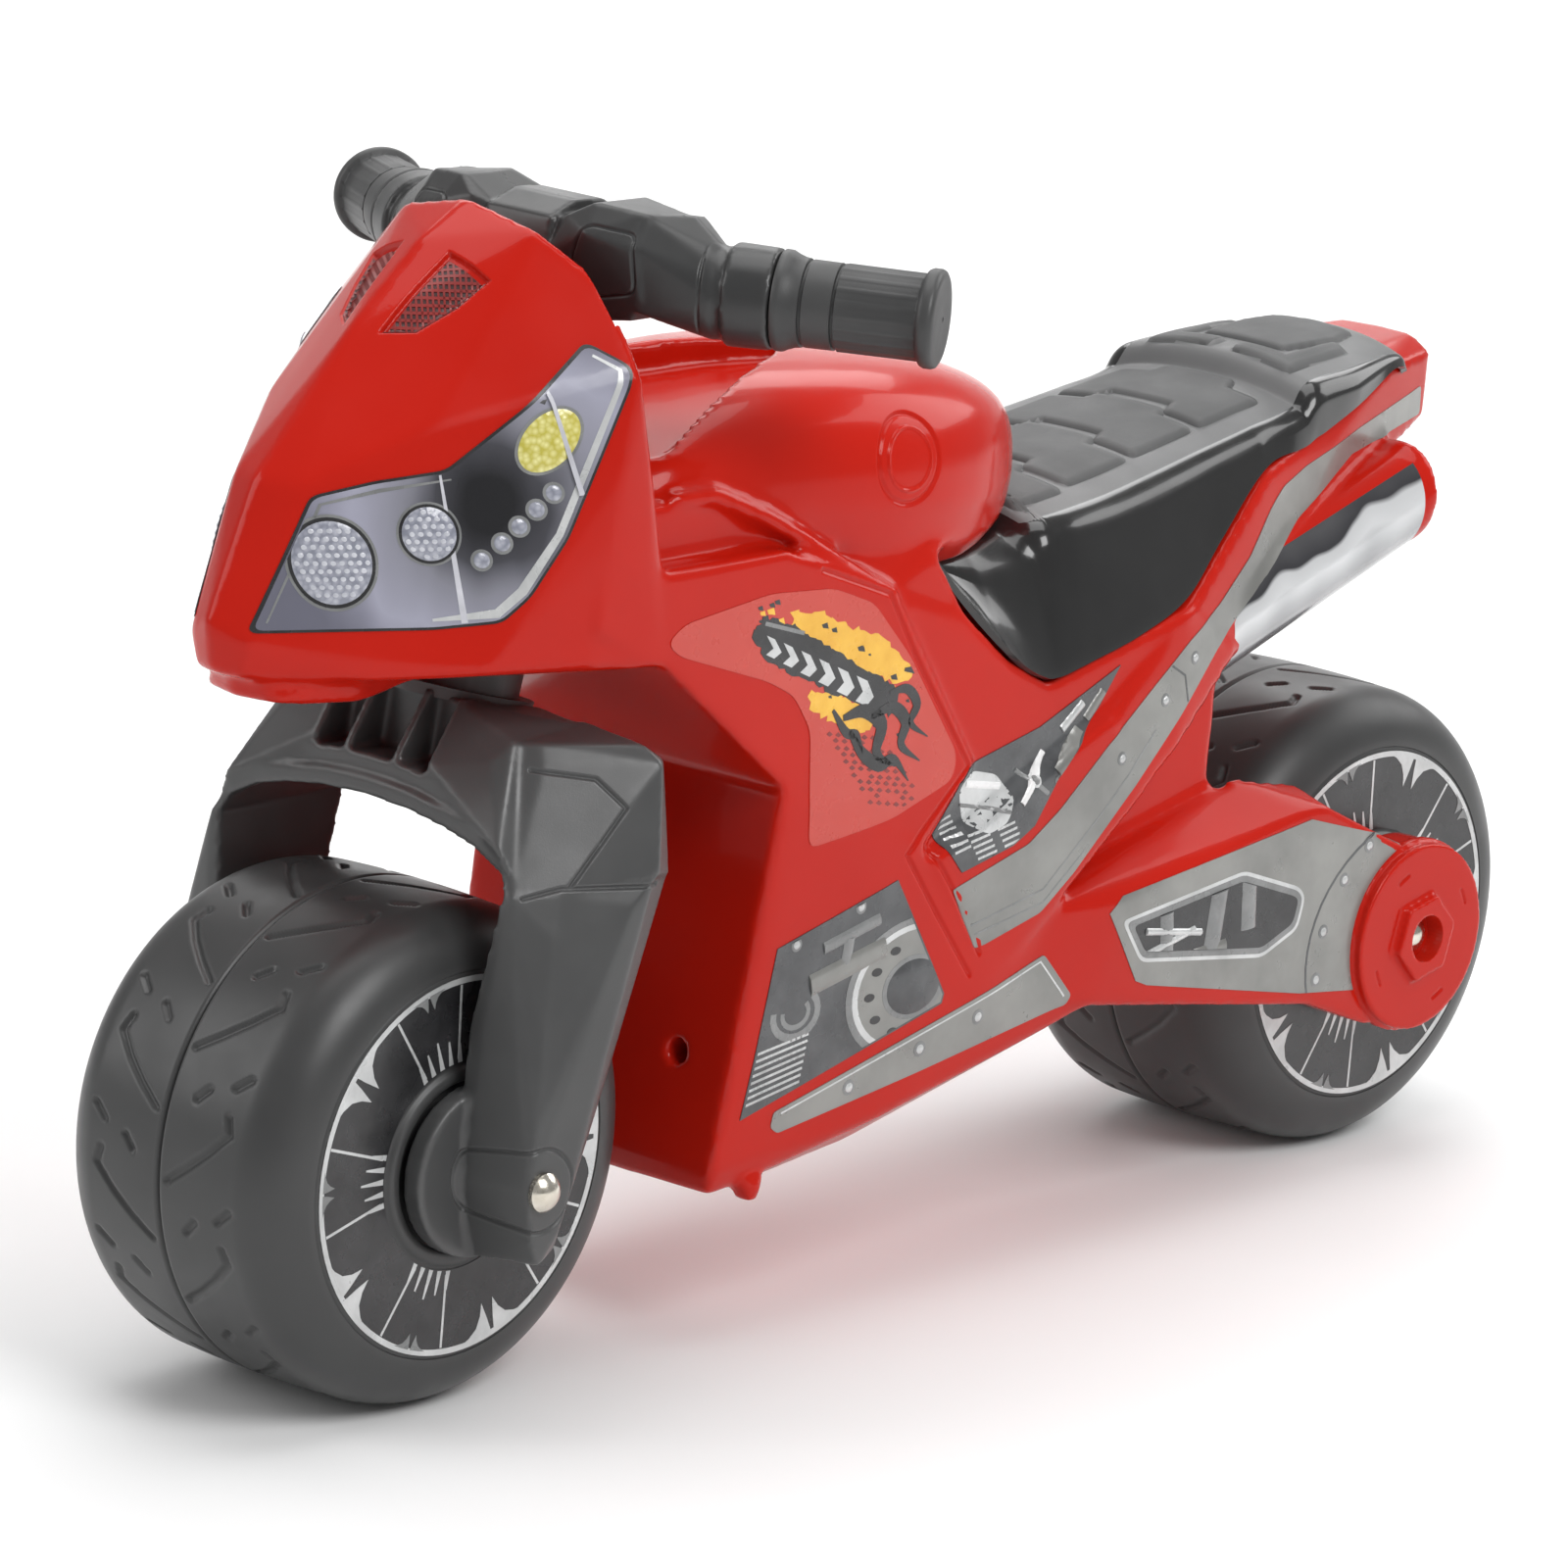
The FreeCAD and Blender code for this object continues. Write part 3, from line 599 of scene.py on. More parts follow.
def tail(solid):
    """The ridges along the seat, and the tail."""
    sides(solid, slab([(-33, 181), (0, 122), (47, 153), (90, 185), (70, 222), (-14, 186)], 60, 82))
    sides(solid, [(60, 90, 185), (82, 90, 185), (82, 60, 214), (60, 60, 214), (60, 126, 262),
                  (76, 122, 258), (78, 105, 243), (60, 158, 233), (72, 157, 233), (80, 114, 202),
                  (60, 114, 202)])
    hull(solid, [(76, 120, 256), (60, 184, 302), (71, 158, 232), (58, 206, 268), (60, 150, 230),
                 (0, 120, 240), (0, 150, 230), (0, 184, 290), (0, 206, 262)])
    hull(solid, [(60, 184, 302), (58, 206, 268), (51, 240, 305), (40, 286, 329), (29, 325, 329),
                 (18, 326, 335), (30, 322, 302), (44, 262, 283), (0, 186, 290), (0, 206, 262),
                 (0, 327, 335.5), (0, 325, 303), (24, 292, 334)])
    # the bed under the seat
    hull(solid, [(62, -20, 258), (62, 120, 262), (52, -10, 286), (48, 66, 286), (46, 135, 294),
                 (40, 210, 308), (30, 285, 331), (0, 290, 333), (0, -20, 288), (0, -20, 250),
                 (44, 190, 275), (0, 190, 262)])


def rear_arms(solid):
    sides(solid, [(64, 20, 118), (80, 20, 118), (64, 30, 150), (80, 34, 147), (64, 167, 178),
                  (84, 80, 145), (84, 193, 163), (66, 205, 170), (84, 207, 163), (64, 63, 103),
                  (83, 63, 104), (84, 203, 79), (64, 203, 79)])
    sides(solid, slab([(193, 163), (207, 163), (246, 137), (262, 136), (262, 60), (240, 64),
                       (203, 79)], 64, 84))
    sides(solid, round_bar((64, *REAR_HUB), (84, *REAR_HUB), 40))
    # the small foot under each side panel
    sides(solid, slab([(-124, 66), (-113, 66), (-115, 57), (-122, 57)], 64, 74))


def exhausts(solid):
    for sign in (1, -1):
        for start, lip in ((EXHAUST_START, 0), (EXHAUST_END - 7, 0.9)):
            hull(solid, exhaust_ring(sign, start, lip) + exhaust_ring(sign, EXHAUST_END, lip),
                 mirror=False)


def body():
    solid = bmesh.new()
    for part in (cowl, shelf, side_panels, flanks, tail, rear_arms, exhausts, tank):
        part(solid)
    made = fused("body", solid, 1.9, 3, RED)
    cuts = bmesh.new()
    # the sunk cover on top of the tank, pointing backwards
    hull(cuts, [(62, -200, 352), (57, -172, 353), (40, -122, 360), (18, -70, 364), (0, -44, 366),
                (66, -200, 420), (61, -172, 420), (44, -122, 420), (21, -70, 420), (0, -39, 420)])
    # the slot in the chin, the holes in the front face and the mouths of the exhausts
    hull(cuts, [(x * 14, -331 + x * x * 5, z) for x in (-1, -0.5, 0, 0.5, 1)
                for z in (279.5, 284.5)] +
         [(x * 11, -310, z) for x in (-1, 1) for z in (279, 285)], mirror=False)
    sides(cuts, round_bar((45, -150, 114), (45, -112, 114), 5))
    for sign in (1, -1):
        hull(cuts, exhaust_ring(sign, EXHAUST_END - 14, -4)
             + exhaust_ring(sign, EXHAUST_END + 4, -4), mirror=False)
    carve(made, cuts)
    softened(made, 1.8, 3)
    bore = bmesh.new()
    hull(bore, round_bar((0, -223, 240), (0, -171.5, 432), 24), mirror=False)
    # room for the humps of the handlebar behind the cowl as they swing
    sides(bore, [(x, y, z) for x in (25.5, 68) for y in (-208.6, -150) for z in (404, 437)])
    carve(made, bore)
    emboss(made)
    return made


# lines pressed into the side of the body, as (y, z)
PANEL_LINES = [[(-102, 306), (-63, 291), (-47, 264), (-13, 215), (-48, 185), (-30, 159), (-9, 130)],
               [(-16, 208), (-36, 187), (-22, 168), (-4, 138)]]
EMBLEM = (-50, 341)


def emboss(made):
    """Panel lines, and the plain round badge on each side of the tank."""
    side = onto_side(made)
    engrave(made, both(traced(side, line) for line in PANEL_LINES), 3.0, 1.0)
    rings = [traced(side, circle(EMBLEM, radius, squash=0.96), closed=True)
             for radius in (17.5, 12.5)]
    engrave(made, both(rings[:1]), 3.2, 1.0)
    engrave(made, both(rings[1:]), 2.2, -0.7)
    top = onto_top(made)
    engrave(made, both([traced(top, [(46, -168), (0, -168)])]), 2.0, 0.8)
    sink(made, top, VENT, 2.2)


# the outline of a vent on top of the cowl, as (x, y)
VENT = [(12, -240), (31, -237), (27, -250), (20, -264), (9, -273), (10, -256)]


def sink(obj, find, loop, depth):
    """Presses the inside of an outline, given in plan, into the top of an object."""
    rims = [np.array([tuple(p) for p in rim], float) * MM
            for rim in both([traced(find, loop, closed=True)])]
    subdivide_near(obj, rims, 4 * MM, 2)
    points, normals = shape_of(obj.data)
    lowest = min(rim[:, 2].min() for rim in rims) - 4 * MM
    for rim in rims:
        box = np.all((points[:, :2] > rim.min(0)[:2]) & (points[:, :2] < rim.max(0)[:2]), axis=1)
        for i in np.flatnonzero(box & (points[:, 2] > lowest)):
            if crosses(loop, abs(points[i][0]) / MM, points[i][1] / MM):
                away = distance_to(points[i][None], rim)[0] / MM
                points[i] -= normals[i] * min(1.0, away) * depth * MM
    reshape(obj.data, points)


BODY = body()
joins(BODY, "body", "red_plastic", "body_shell", "cowl_shell", "tank_shell")


# ---------------------------------------------------------------- wheels

TYRE_RADIUS = 98
TREAD_REPEATS = 12
TREAD_DEPTH = 1.5
TYRE_STEPS = 720
BEFORE_TREAD = 47  # how many points of the profile lie before the tread, on each side


def rounded_corner(centre, radius, start, end, count):
    """Points of an arc from one angle to another, in degrees."""
    a, b = centre
    return [(a + radius * math.cos(math.radians(t)), b + radius * math.sin(math.radians(t)))
            for t in np.linspace(start, end, count)]


def wheel_profile():
    """(x, radius) from the bore on the left face, over the tread, to the bore on the right."""
    hub = [(61, 9.2), (61.6, 9.8), (61.6, 13.6), (60.8, 14.6), (54.6, 15.4), (53.8, 16.4),
           (53.8, 22), (56.4, 23), (57.2, 24), (57.2, 28), (58.6, 29.4), (58.6, 32.4),
           (61.2, 33.2), (62, 34), (62, 36.8), (61.4, 38), (60.4, 38.6), (60, 39.6)]
    face = [(60, r) for r in (46, 54, 62, 68, 72, 73.4)] + [(59.7, 74.2), (59.3, 74.8)]
    shoulder = rounded_corner((36.5, 73.8), 23.2, 3, 84, 22)
    crown = [(x, TYRE_RADIUS - 1.1 * (x / 38) ** 2) for x in np.linspace(37.4, 1.4, 34)]
    half = hub + face + shoulder + crown + [(0.8, TYRE_RADIUS - 0.6)]
    return half + [(0, TYRE_RADIUS - 2.0)] + [(-x, r) for x, r in reversed(half)]


# one repeat of the tread, as (distance round the tyre, distance from the middle) in mm
TREAD_LINES = [([(0, 5), (7, 15), (15, 25), (24, 34)], 2.6), ([(24, 34), (30, 32)], 3.0),
               ([(33, 14), (38, 19)], 2.6), ([(41, 31), (46, 37)], 2.8)]


def tread_depth(theta, x):
    """How deep the tyre's surface is pressed in, on a grid of angles and distances."""
    period = 2 * math.pi * TYRE_RADIUS / TREAD_REPEATS
    around = theta * TYRE_RADIUS + np.where(x < 0, period / 2, 0)
    around = np.mod(around, period)
    depth = np.zeros_like(around)
    for line, width in TREAD_LINES:
        for shift in (-period, 0, period):
            points = np.stack([around - shift, np.abs(x), np.zeros_like(x)], -1).reshape(-1, 3)
            away = distance_to(points, np.array([(a, b, 0) for a, b in line], float))
            t = np.clip(away.reshape(x.shape) / (width / 2 + 0.5), 0, 1)
            depth = np.maximum(depth, TREAD_DEPTH * (1 - t**3) ** 2)
    return depth


def grid_mesh(name, points, wrap_rows, wrap_columns):
    """A mesh from a block of points [rows, columns, 3] in mm."""
    rows, columns = points.shape[:2]
    index = np.arange(rows * columns).reshape(rows, columns)
    down = np.roll(index, -1, 0) if wrap_rows else index[1:]
    up = index if wrap_rows else index[:-1]
    right = np.roll(up, -1, 1), np.roll(down, -1, 1)
    faces = np.stack([up, down, right[1], right[0]], -1)
    if not wrap_columns:
        faces = faces[:, :-1]
    mesh = bpy.data.meshes.new(name)
    mesh.from_pydata((points.reshape(-1, 3) * MM).tolist(), [], faces.reshape(-1, 4).tolist())
    mesh.validate()
    return mesh


def wheel(name, hub):
    """A closed ring turned about a line across the machine through the hub (y, z)."""
    x, radius = np.array(wheel_profile(), float).T
    theta = np.linspace(0, 2 * math.pi, TYRE_STEPS, endpoint=False)
    angle, across = np.meshgrid(theta, x, indexing="ij")
    place = np.arange(len(x))
    tread = (place >= BEFORE_TREAD) & (place < len(x) - BEFORE_TREAD)
    depth = np.zeros_like(across)
    depth[:, tread] = tread_depth(angle[:, tread], across[:, tread])
    reach = radius - depth
    points = np.stack([across, hub[0] + reach * np.sin(angle), hub[1] + reach * np.cos(angle)], -1)
    made = new_object(name + "_tyre", grid_mesh(name + "_tyre", points, True, True), TYRE)
    made.data.set_sharp_from_angle(angle=math.radians(50))
    joins(made, name, "wheel_plastic", name)


TYRE = dark_plastic("tyre_plastic", 0.040, (0.32, 0.46), 0.06)
wheel("front_wheel", FRONT_HUB)
wheel("rear_wheel", REAR_HUB)


# ---------------------------------------------------------------- printed films and low relief

GROUND = 0.40  # how high the ground of a film lies over the surface under it


class Print:
    """One printed film: thin closed shapes and low relief, laid on a surface in layers.

    Outlines are in the flat coordinates of the surface, and a level is a height over it.
    """

    def __init__(self, find):
        self.find = find
        self.points, self.faces, self.slots, self.materials = [], [], [], []
        self.clip = None

    def slot_of(self, material):
        if material not in self.materials:
            self.materials.append(material)
        return self.materials.index(material)

    def lay(self, flat, triangles, level, rise, material):
        """A closed thin body over some flat triangles, its top at level + rise(u, v)."""
        start = len(self.points)
        for top in (True, False):
            for u, v in flat:
                point, normal = self.find(u, v)
                height = level + (rise(u, v) if rise else 0) if top else level - 0.5
                self.points.append(point + normal * height)
        count = len(flat)
        edges = {}
        made = []
        for a, b, c in triangles:
            made.append((start + a, start + b, start + c))
            made.append((start + count + a, start + count + c, start + count + b))
            for edge in ((a, b), (b, c), (c, a)):
                edges[edge] = True
        for a, b in edges:
            if (b, a) not in edges:
                made.append((start + b, start + a, start + count + a, start + count + b))
        self.faces += made
        self.slots += [self.slot_of(material)] * len(made)

    def patch(self, loop, level, material, holes=(), step=3.0, rise=None):
        """A filled outline, with a grid of points inside it so that it follows the surface."""
        def kept_at(u, v):
            return (crosses(loop, u, v) and not any(crosses(h, u, v) for h in holes)
                    and (self.clip is None or crosses(self.clip, u, v)))
        loops = [resampled(loop, step)] + [resampled(hole, step) for hole in holes]
        if self.clip:
            loops.append(resampled(self.clip, step))
        flat, edges = [], []
        for ring in loops:
            start = len(flat)
            flat += ring
            edges += [(start + i, start + (i + 1) % len(ring)) for i in range(len(ring))]
        low_u, high_u = min(p[0] for p in loop), max(p[0] for p in loop)
        low_v, high_v = min(p[1] for p in loop), max(p[1] for p in loop)
        border = np.array(flat, float)
        for i, u in enumerate(np.arange(low_u + step / 2, high_u, step)):
            for v in np.arange(low_v + step * (0.25 + 0.5 * (i % 2)), high_v, step):
                clear = np.hypot(border[:, 0] - u, border[:, 1] - v).min() > step * 0.45
                if clear and kept_at(u, v):
                    flat.append((float(u), float(v)))
        found = delaunay_2d_cdt([Vector(p) for p in flat], edges, [], 0, 1e-5)
        flat = [tuple(p) for p in found[0]]
        kept = []
        for a, b, c in found[2]:
            u = (flat[a][0] + flat[b][0] + flat[c][0]) / 3
            v = (flat[a][1] + flat[b][1] + flat[c][1]) / 3
            if kept_at(u, v):
                kept.append((a, b, c))
        used = sorted({corner for triangle in kept for corner in triangle})
        order = {corner: i for i, corner in enumerate(used)}
        self.lay([flat[corner] for corner in used],
                 [tuple(order[corner] for corner in triangle) for triangle in kept],
                 level, rise, material)

    def disc(self, centre, radius, level, material, hole=0.0, dome=0.0, squash=1.0, turn=0.0,
             step=None):
        """A round or oval patch, flat or domed, with an optional hole."""
        def rise(u, v):
            a, b = u - centre[0], v - centre[1]
            c, s = math.cos(turn), math.sin(turn)
            away = math.hypot(a * c + b * s, (b * c - a * s) / squash) / radius
            return dome * math.sqrt(max(0.0, 1 - min(1.0, away) ** 2))
        holes = [circle(centre, hole, 40, squash, turn)] if hole else []
        count = 16 if radius < 3 else 48
        self.patch(circle(centre, radius, count, squash, turn), level, material, holes,
                   step or max(0.8, radius / 4), rise if dome else None)

    def bar(self, start, end, width, level, material, dome):
        """A straight half-round strip."""
        a, b = Vector(start), Vector(end)
        along = (b - a).normalized()
        side = Vector((-along.y, along.x)) * width / 2

        def rise(u, v):
            away = (Vector((u, v)) - a).dot(side.normalized()) / (width / 2)
            return dome * math.sqrt(max(0.0, 1 - min(1.0, abs(away)) ** 2))
        self.patch([tuple(a + side), tuple(a - side), tuple(b - side), tuple(b + side)], level,
                   material, step=max(0.9, width / 5), rise=rise)

    def ribbon(self, points, ways, widths, level, material, step):
        """A flat band through points, across the way that the line runs at each."""
        left, right = [], []
        for p, along, width in zip(points, ways, widths):
            side = Vector((-along.y, along.x)) * width / 2
            left.append(tuple(p + side))
            right.append(tuple(p - side))
        self.patch(left + right[::-1], level, material, step=step)

    def line(self, corners, width, level, material):
        """A band of one width along a bent line, mitred at its corners."""
        points = [Vector(p) for p in corners]
        legs = [(b - a).normalized() for a, b in zip(points, points[1:])]
        still = [Vector((0, 0))]
        ways = [(a + b).normalized() for a, b in zip(still + legs, legs + still)]
        self.ribbon(points, ways, [width] * len(points), level, material, 2.5)

    def stroke(self, corners, widths, level, material):
        """A brush stroke that swells and tapers along a bent line."""
        points = [Vector(p) for p in corners]
        ways = [(b - a).normalized()
                for a, b in zip(points[:1] + points[:-1], points[1:] + points[-1:])]
        self.ribbon(points, ways, widths, level, material, 2)

    def rivets(self, radius, *centres, level=0.50):
        """Domed heads, each in a grey ring."""
        for centre in centres:
            self.disc(centre, radius, level, INK_GREY, dome=0.25)
            self.disc(centre, radius * 0.62, level + 0.15, PALE_SILVER, dome=0.7)

    def object(self, name):
        """The finished mesh object."""
        mesh = bpy.data.meshes.new(name)
        mesh.from_pydata([tuple(p * MM) for p in self.points], [], self.faces)
        form = bmesh.new()
        form.from_mesh(mesh)
        for face, slot in zip(form.faces, self.slots):
            face.material_index = slot
        bmesh.ops.recalc_face_normals(form, faces=form.faces)
        form.to_mesh(mesh)
        form.free()
        made = new_object(name, mesh, *self.materials)
        mesh.set_sharp_from_angle(angle=math.radians(40))
        return made

    def pair(self, name, slot, *nodes, body="body"):
        """The film on the rider's left and its mirror image on the right."""
        joins_twice(self.object(name + "_left"), body, slot, *nodes)


def printed(name, low, high, roughness=(0.22, 0.34), metallic=0.0, spots=60):
    """Ink on a glossy film, mottled as fine print is."""
    s = Shader(name)
    s.colour(s.ramp(s.noise(spots, 4, 0.6), [(0.32, low), (0.68, high)]))
    s.rough_patches(90, 3, *roughness)
    s.grain(500, 0.05)
    s.set(Metallic=metallic, IOR=1.5, Coat_Weight=0.25, Coat_Roughness=0.12)
    return s.material


INK_BLACK = printed("ink_black", (0.012, 0.012, 0.013), (0.030, 0.030, 0.032))
INK_DARK = printed("ink_dark_grey", (0.045, 0.047, 0.050), (0.085, 0.088, 0.092))
INK_GREY = printed("ink_grey", (0.16, 0.165, 0.165), (0.24, 0.245, 0.245))
SILVER = printed("silver_film", (0.20, 0.20, 0.19), (0.29, 0.29, 0.275), (0.26, 0.38), 0.35, 22)
PALE_SILVER = printed("pale_silver_film", (0.48, 0.49, 0.49), (0.66, 0.67, 0.67), (0.25, 0.35), 0.3)
WHITE_INK = printed("ink_white", (0.72, 0.72, 0.72), (0.86, 0.86, 0.86))


# ---------------------------------------------------------------- wheel faces

def polar(hub, radius, degrees):
    """A point at a distance from the hub, at an angle from straight up."""
    t = math.radians(degrees)
    return hub[0] + radius * math.sin(t), hub[1] + radius * math.cos(t)


def horn(hub, centre, spread, reach, side):
    """A curved claw that grows from the outer ring towards the hub."""
    outer = [polar(hub, 71.5, centre + side * spread * t) for t in (1.0, 0.75, 0.5, 0.25, 0.05)]
    inner = [polar(hub, 71.5 - reach * bend, centre + side * spread * t)
             for t, bend in ((0.10, 0.42), (0.22, 1.0), (0.34, 0.62), (0.52, 0.30), (0.78, 0.10))]
    return outer + inner


LABEL_INNER, LABEL_OUTER = 40.2, 73.2


def wheel_print(end, hub):
    """A dark disc with a silver rim, thin double spokes and claws around it, five times over."""
    face = Print(lambda y, z: (Vector((60, y, z)), Vector((1, 0, 0))))
    edge = circle(hub, LABEL_OUTER, 120)
    face.patch(edge, 0.25, INK_BLACK, [circle(hub, LABEL_INNER, 72)], step=6)
    face.patch(edge, 0.40, PALE_SILVER, [circle(hub, LABEL_OUTER - 2.3, 120)], step=2.5)
    for i in range(5):
        turn = 72 * i + 20
        for side in (-1, 1):
            face.patch(horn(hub, turn, 13, 13, side), 0.45, PALE_SILVER, step=2)
            face.patch(horn(hub, turn + 36, 7, 6, side), 0.45, INK_GREY, step=2)
            spoke = [polar(hub, r, turn + side * (22 + 2.2 * (73 - r) / 33)) for r in (42, 70.5)]
            face.line(spoke, 1.1, 0.35, PALE_SILVER)
        for k in range(-2, 3):
            tip = 52 - abs(k) * 2
            at = turn + 36 + k * 6.5
            face.patch([polar(hub, 40.6, at - 1.6), polar(hub, 40.6, at + 1.6),
                        polar(hub, tip, at + 0.4), polar(hub, tip, at - 0.4)], 0.4, PALE_SILVER)
    face.pair(end + "_wheel_film", "wheel_print", end + "_wheel_label", body=end + "_wheel")


wheel_print("front", FRONT_HUB)
wheel_print("rear", REAR_HUB)


# ---------------------------------------------------------------- fork

# one leg: outline of its inner face (y, z), then the corners of its folded outer face (x, y, z)
FORK_INNER = [(-266, 206), (-268, 190), (-273, 155), (-277, 120), (-279, 98), (-276, 80),
              (-272, 67), (-253, 71), (-224, 142), (-211, 185), (-199, 207)]
FORK_OUTER = [(90, -250, 206), (93, -255, 190), (98, -263, 155), (102, -270, 120), (103, -274, 98),
              (103, -272, 80), (103, -268, 69), (103, -258, 80), (103, -243, 147),
              (103, -223, 200), (103, -214, 208)]


def fork():
    """The forked leg moulding over the front wheel."""
    solid = bmesh.new()
    # the legs, with a chamfer along the front and a fold towards the back
    sides(solid, [(x, y, z) for y, z in FORK_INNER[2:-2] for x in (68, 75)] + FORK_OUTER +
          [(x, y, z) for y, z in FORK_INNER[:2] + FORK_INNER[-2:] for x in (76, 80)] +
          [(96, y, z) for y, z in FORK_INNER[-4:]])
    # the shoulders, which lean inwards
    sides(solid, [(76, -266, 206), (80, -265, 206), (90, -250, 206), (104, -212, 210),
                  (97, -199, 207), (74, -199, 207), (54, -255, 249), (70, -240, 250),
                  (96, -204, 250), (92, -199, 250), (54, -200, 250), (54, -248, 257),
                  (66, -238, 257), (88, -206, 256), (54, -204, 258)])
    sides(solid, round_bar((62.6, *FRONT_HUB), (72, *FRONT_HUB), 33))
    # the arched plate over the wheel, with a lip along its front
    arch = [(0, 231, 243), (22, 230, 242), (42, 227, 239), (58, 223, 233), (72, 216, 226)]
    for ends in zip(arch, arch[1:]):
        sides(solid, [(x, y, z + lift) for x, low, high in ends
                      for y, lift in ((-262, 0), (-196, -2)) for z in (low, high)])
        sides(solid, [(x, y, z) for x, low, high in ends
                      for y in (-264.5, -258) for z in (low - 3, low + 4)])
    # the pedestal under the body, the ribs in front of it and the smooth flanks beside it
    hull(solid, slab([(-246, 236), (-240, 266), (-206, 258), (-196, 232)], 0, 34))
    for x in (13, 31):
        sides(solid, slab([(-262, 238), (-261, 245), (-245, 268), (-230, 265), (-230, 236)],
                          x - 1.6, x + 1.6))
    sides(solid, [(31, -262, 236), (31, -261, 245), (31, -246, 267), (31, -205, 259),
                  (31, -198, 236), (56, -264, 228), (56, -254, 250), (60, -246, 257),
                  (60, -206, 257), (73, -266, 222), (78, -264, 212), (78, -200, 222)])
    made = fused("front_fork", solid, 1.3, 3, FORK_PLASTIC)
    bore = bmesh.new()
    hull(bore, round_bar((0, -222, 242), (0, -232, 200), 10), mirror=False)
    sides(bore, round_bar((60, *FRONT_HUB), (68, *FRONT_HUB), 9.6))
    carve(made, bore)
    face = onto_side(made)
    grooves = [traced(face, [(-244, 248), (-226, 245), (-220, 235), (-246, 208)]),
               traced(face, [(-262, 205), (-249, 208), (-210, 206)]),
               traced(face, circle(FRONT_HUB, 16), closed=True)]
    engrave(made, both(grooves), 2.6, 1.0)
    joins(made, "steering", "black_plastic", "fork")


# ---------------------------------------------------------------- handlebar and grips

# where the left half of the bar leaves its hump, meets the grip and ends, and its heading
BAR = {"collar": (75, -161, 419.5), "inner": (95, -149.6, 418.7), "outer": (149, -119, 416.5)}
BAR_HEADING = (20, 11.4, -0.8)


def between(a, b, distance):
    """The point at a distance from a towards b, in mm."""
    a, b = Vector(a), Vector(b)
    return a + (b - a).normalized() * distance


def handlebar():
    """The bar with its two humps, and the column that carries it."""
    solid = bmesh.new()
    # the low middle and the column
    hull(solid, slab([(-196, 428), (-192, 442), (-178, 447), (-164, 446), (-150, 438), (-148, 418),
                      (-168, 406), (-190, 410)], 0, 17))
    hull(solid, round_bar((0, -192.2, 354.4), (0, -174.6, 420), 23), mirror=False)
    # the two humps, falling away to the collars
    sides(solid, [(17, -195, 428), (17, -188, 441), (17, -150, 439), (17, -152, 412),
                  (17, -190, 408), (25, -192, 444), (35, -187, 450), (56, -181, 448),
                  (62, -178, 443), (38, -196, 440), (58, -190, 436), (60, -188, 416),
                  (54, -186, 408), (30, -192, 405), (35, -160, 449), (56, -157, 445),
                  (30, -150, 420), (58, -147, 420), (56, -150, 408), (30, -160, 402)])
    sides(solid, [(54, -182, 448), (56, -190, 438), (58, -188, 412), (58, -150, 410),
                  (56, -150, 444), (60, -160, 446)] +
          [tuple(p) for p in ring_points(BAR["collar"], BAR_HEADING, 18)])
    sides(solid, round_bar(BAR["collar"], BAR["inner"], 17.6, 16.6))
    sides(solid, round_bar(between(BAR["collar"], BAR["inner"], 5),
                           between(BAR["collar"], BAR["inner"], 22.6), 19.6, 19.2))
    sides(solid, round_bar(BAR["inner"], between(BAR["inner"], BAR["outer"], 56), 11.5))
    made = fused("bar_moulding", solid, 1.2, 3, BLACK_PLASTIC)
    bore = bmesh.new()
    hull(bore, round_bar((0, -196.2, 340), (0, -182, 392), 10), mirror=False)
    carve(made, bore)
    panel = softened_corners([(37, 443), (57, 441), (58, 419), (40, 415), (30, 428)], 4)
    ring = ring_points(between(BAR["collar"], BAR["inner"], -4), BAR_HEADING, 18.4)
    grooves = both([traced(onto_front(made), panel, closed=True)]) + both([ring + ring[:1]])
    engrave(made, grooves, 2.2, 0.9)
    joins(made, "steering", "black_plastic", "handlebar")


# the grip from its inner end: distance along it and radius
GRIP = [(0.4, 12.2), (0.4, 18.6), (1.0, 19.1), (3.4, 19.0), (5.6, 17.9), (8.2, 17.0), (10.3, 16.7),
        (10.7, 15.7), (11.5, 15.7), (11.9, 16.5), (22.6, 16.4), (23.0, 15.4), (23.8, 15.4),
        (24.2, 16.3), (46, 16.2), (54.4, 16.2), (55.2, 16.6), (55.8, 18.0), (57.2, 18.7),
        (59.8, 18.7), (61.0, 18.2), (61.7, 17.0), (61.9, 14.6), (62.1, 8), (62.2, 1.2), (61.4, 0.4),
        (58.2, 0.0)]
GRIP_STEPS = 120
RIBS, RIB_HEIGHT = 20, 0.35


def grip():
    """A ribbed rubber grip, turned about the end of the bar."""
    start, end = Vector(BAR["inner"]), Vector(BAR["outer"])
    along = (end - start).normalized()
    across = along.cross(Vector((0, 0, 1))).normalized()
    third = across.cross(along)
    rows = []
    for i in range(GRIP_STEPS):
        t = 2 * math.pi * i / GRIP_STEPS
        outwards = across * math.cos(t) + third * math.sin(t)
        rib = RIB_HEIGHT * max(0.0, math.cos(t * RIBS)) ** 4
        rows.append([tuple(start + along * d + outwards * (r + (rib if 24 < d < 55 else 0)))
                     for d, r in GRIP])
    made = new_object("rubber_grip_left",
                      grid_mesh("rubber_grip_left", np.array(rows), True, False), GRIP_PLASTIC)
    close_ends(made)
    made.data.set_sharp_from_angle(angle=math.radians(45))
    joins_twice(made, "steering", "grip_plastic", "grip")


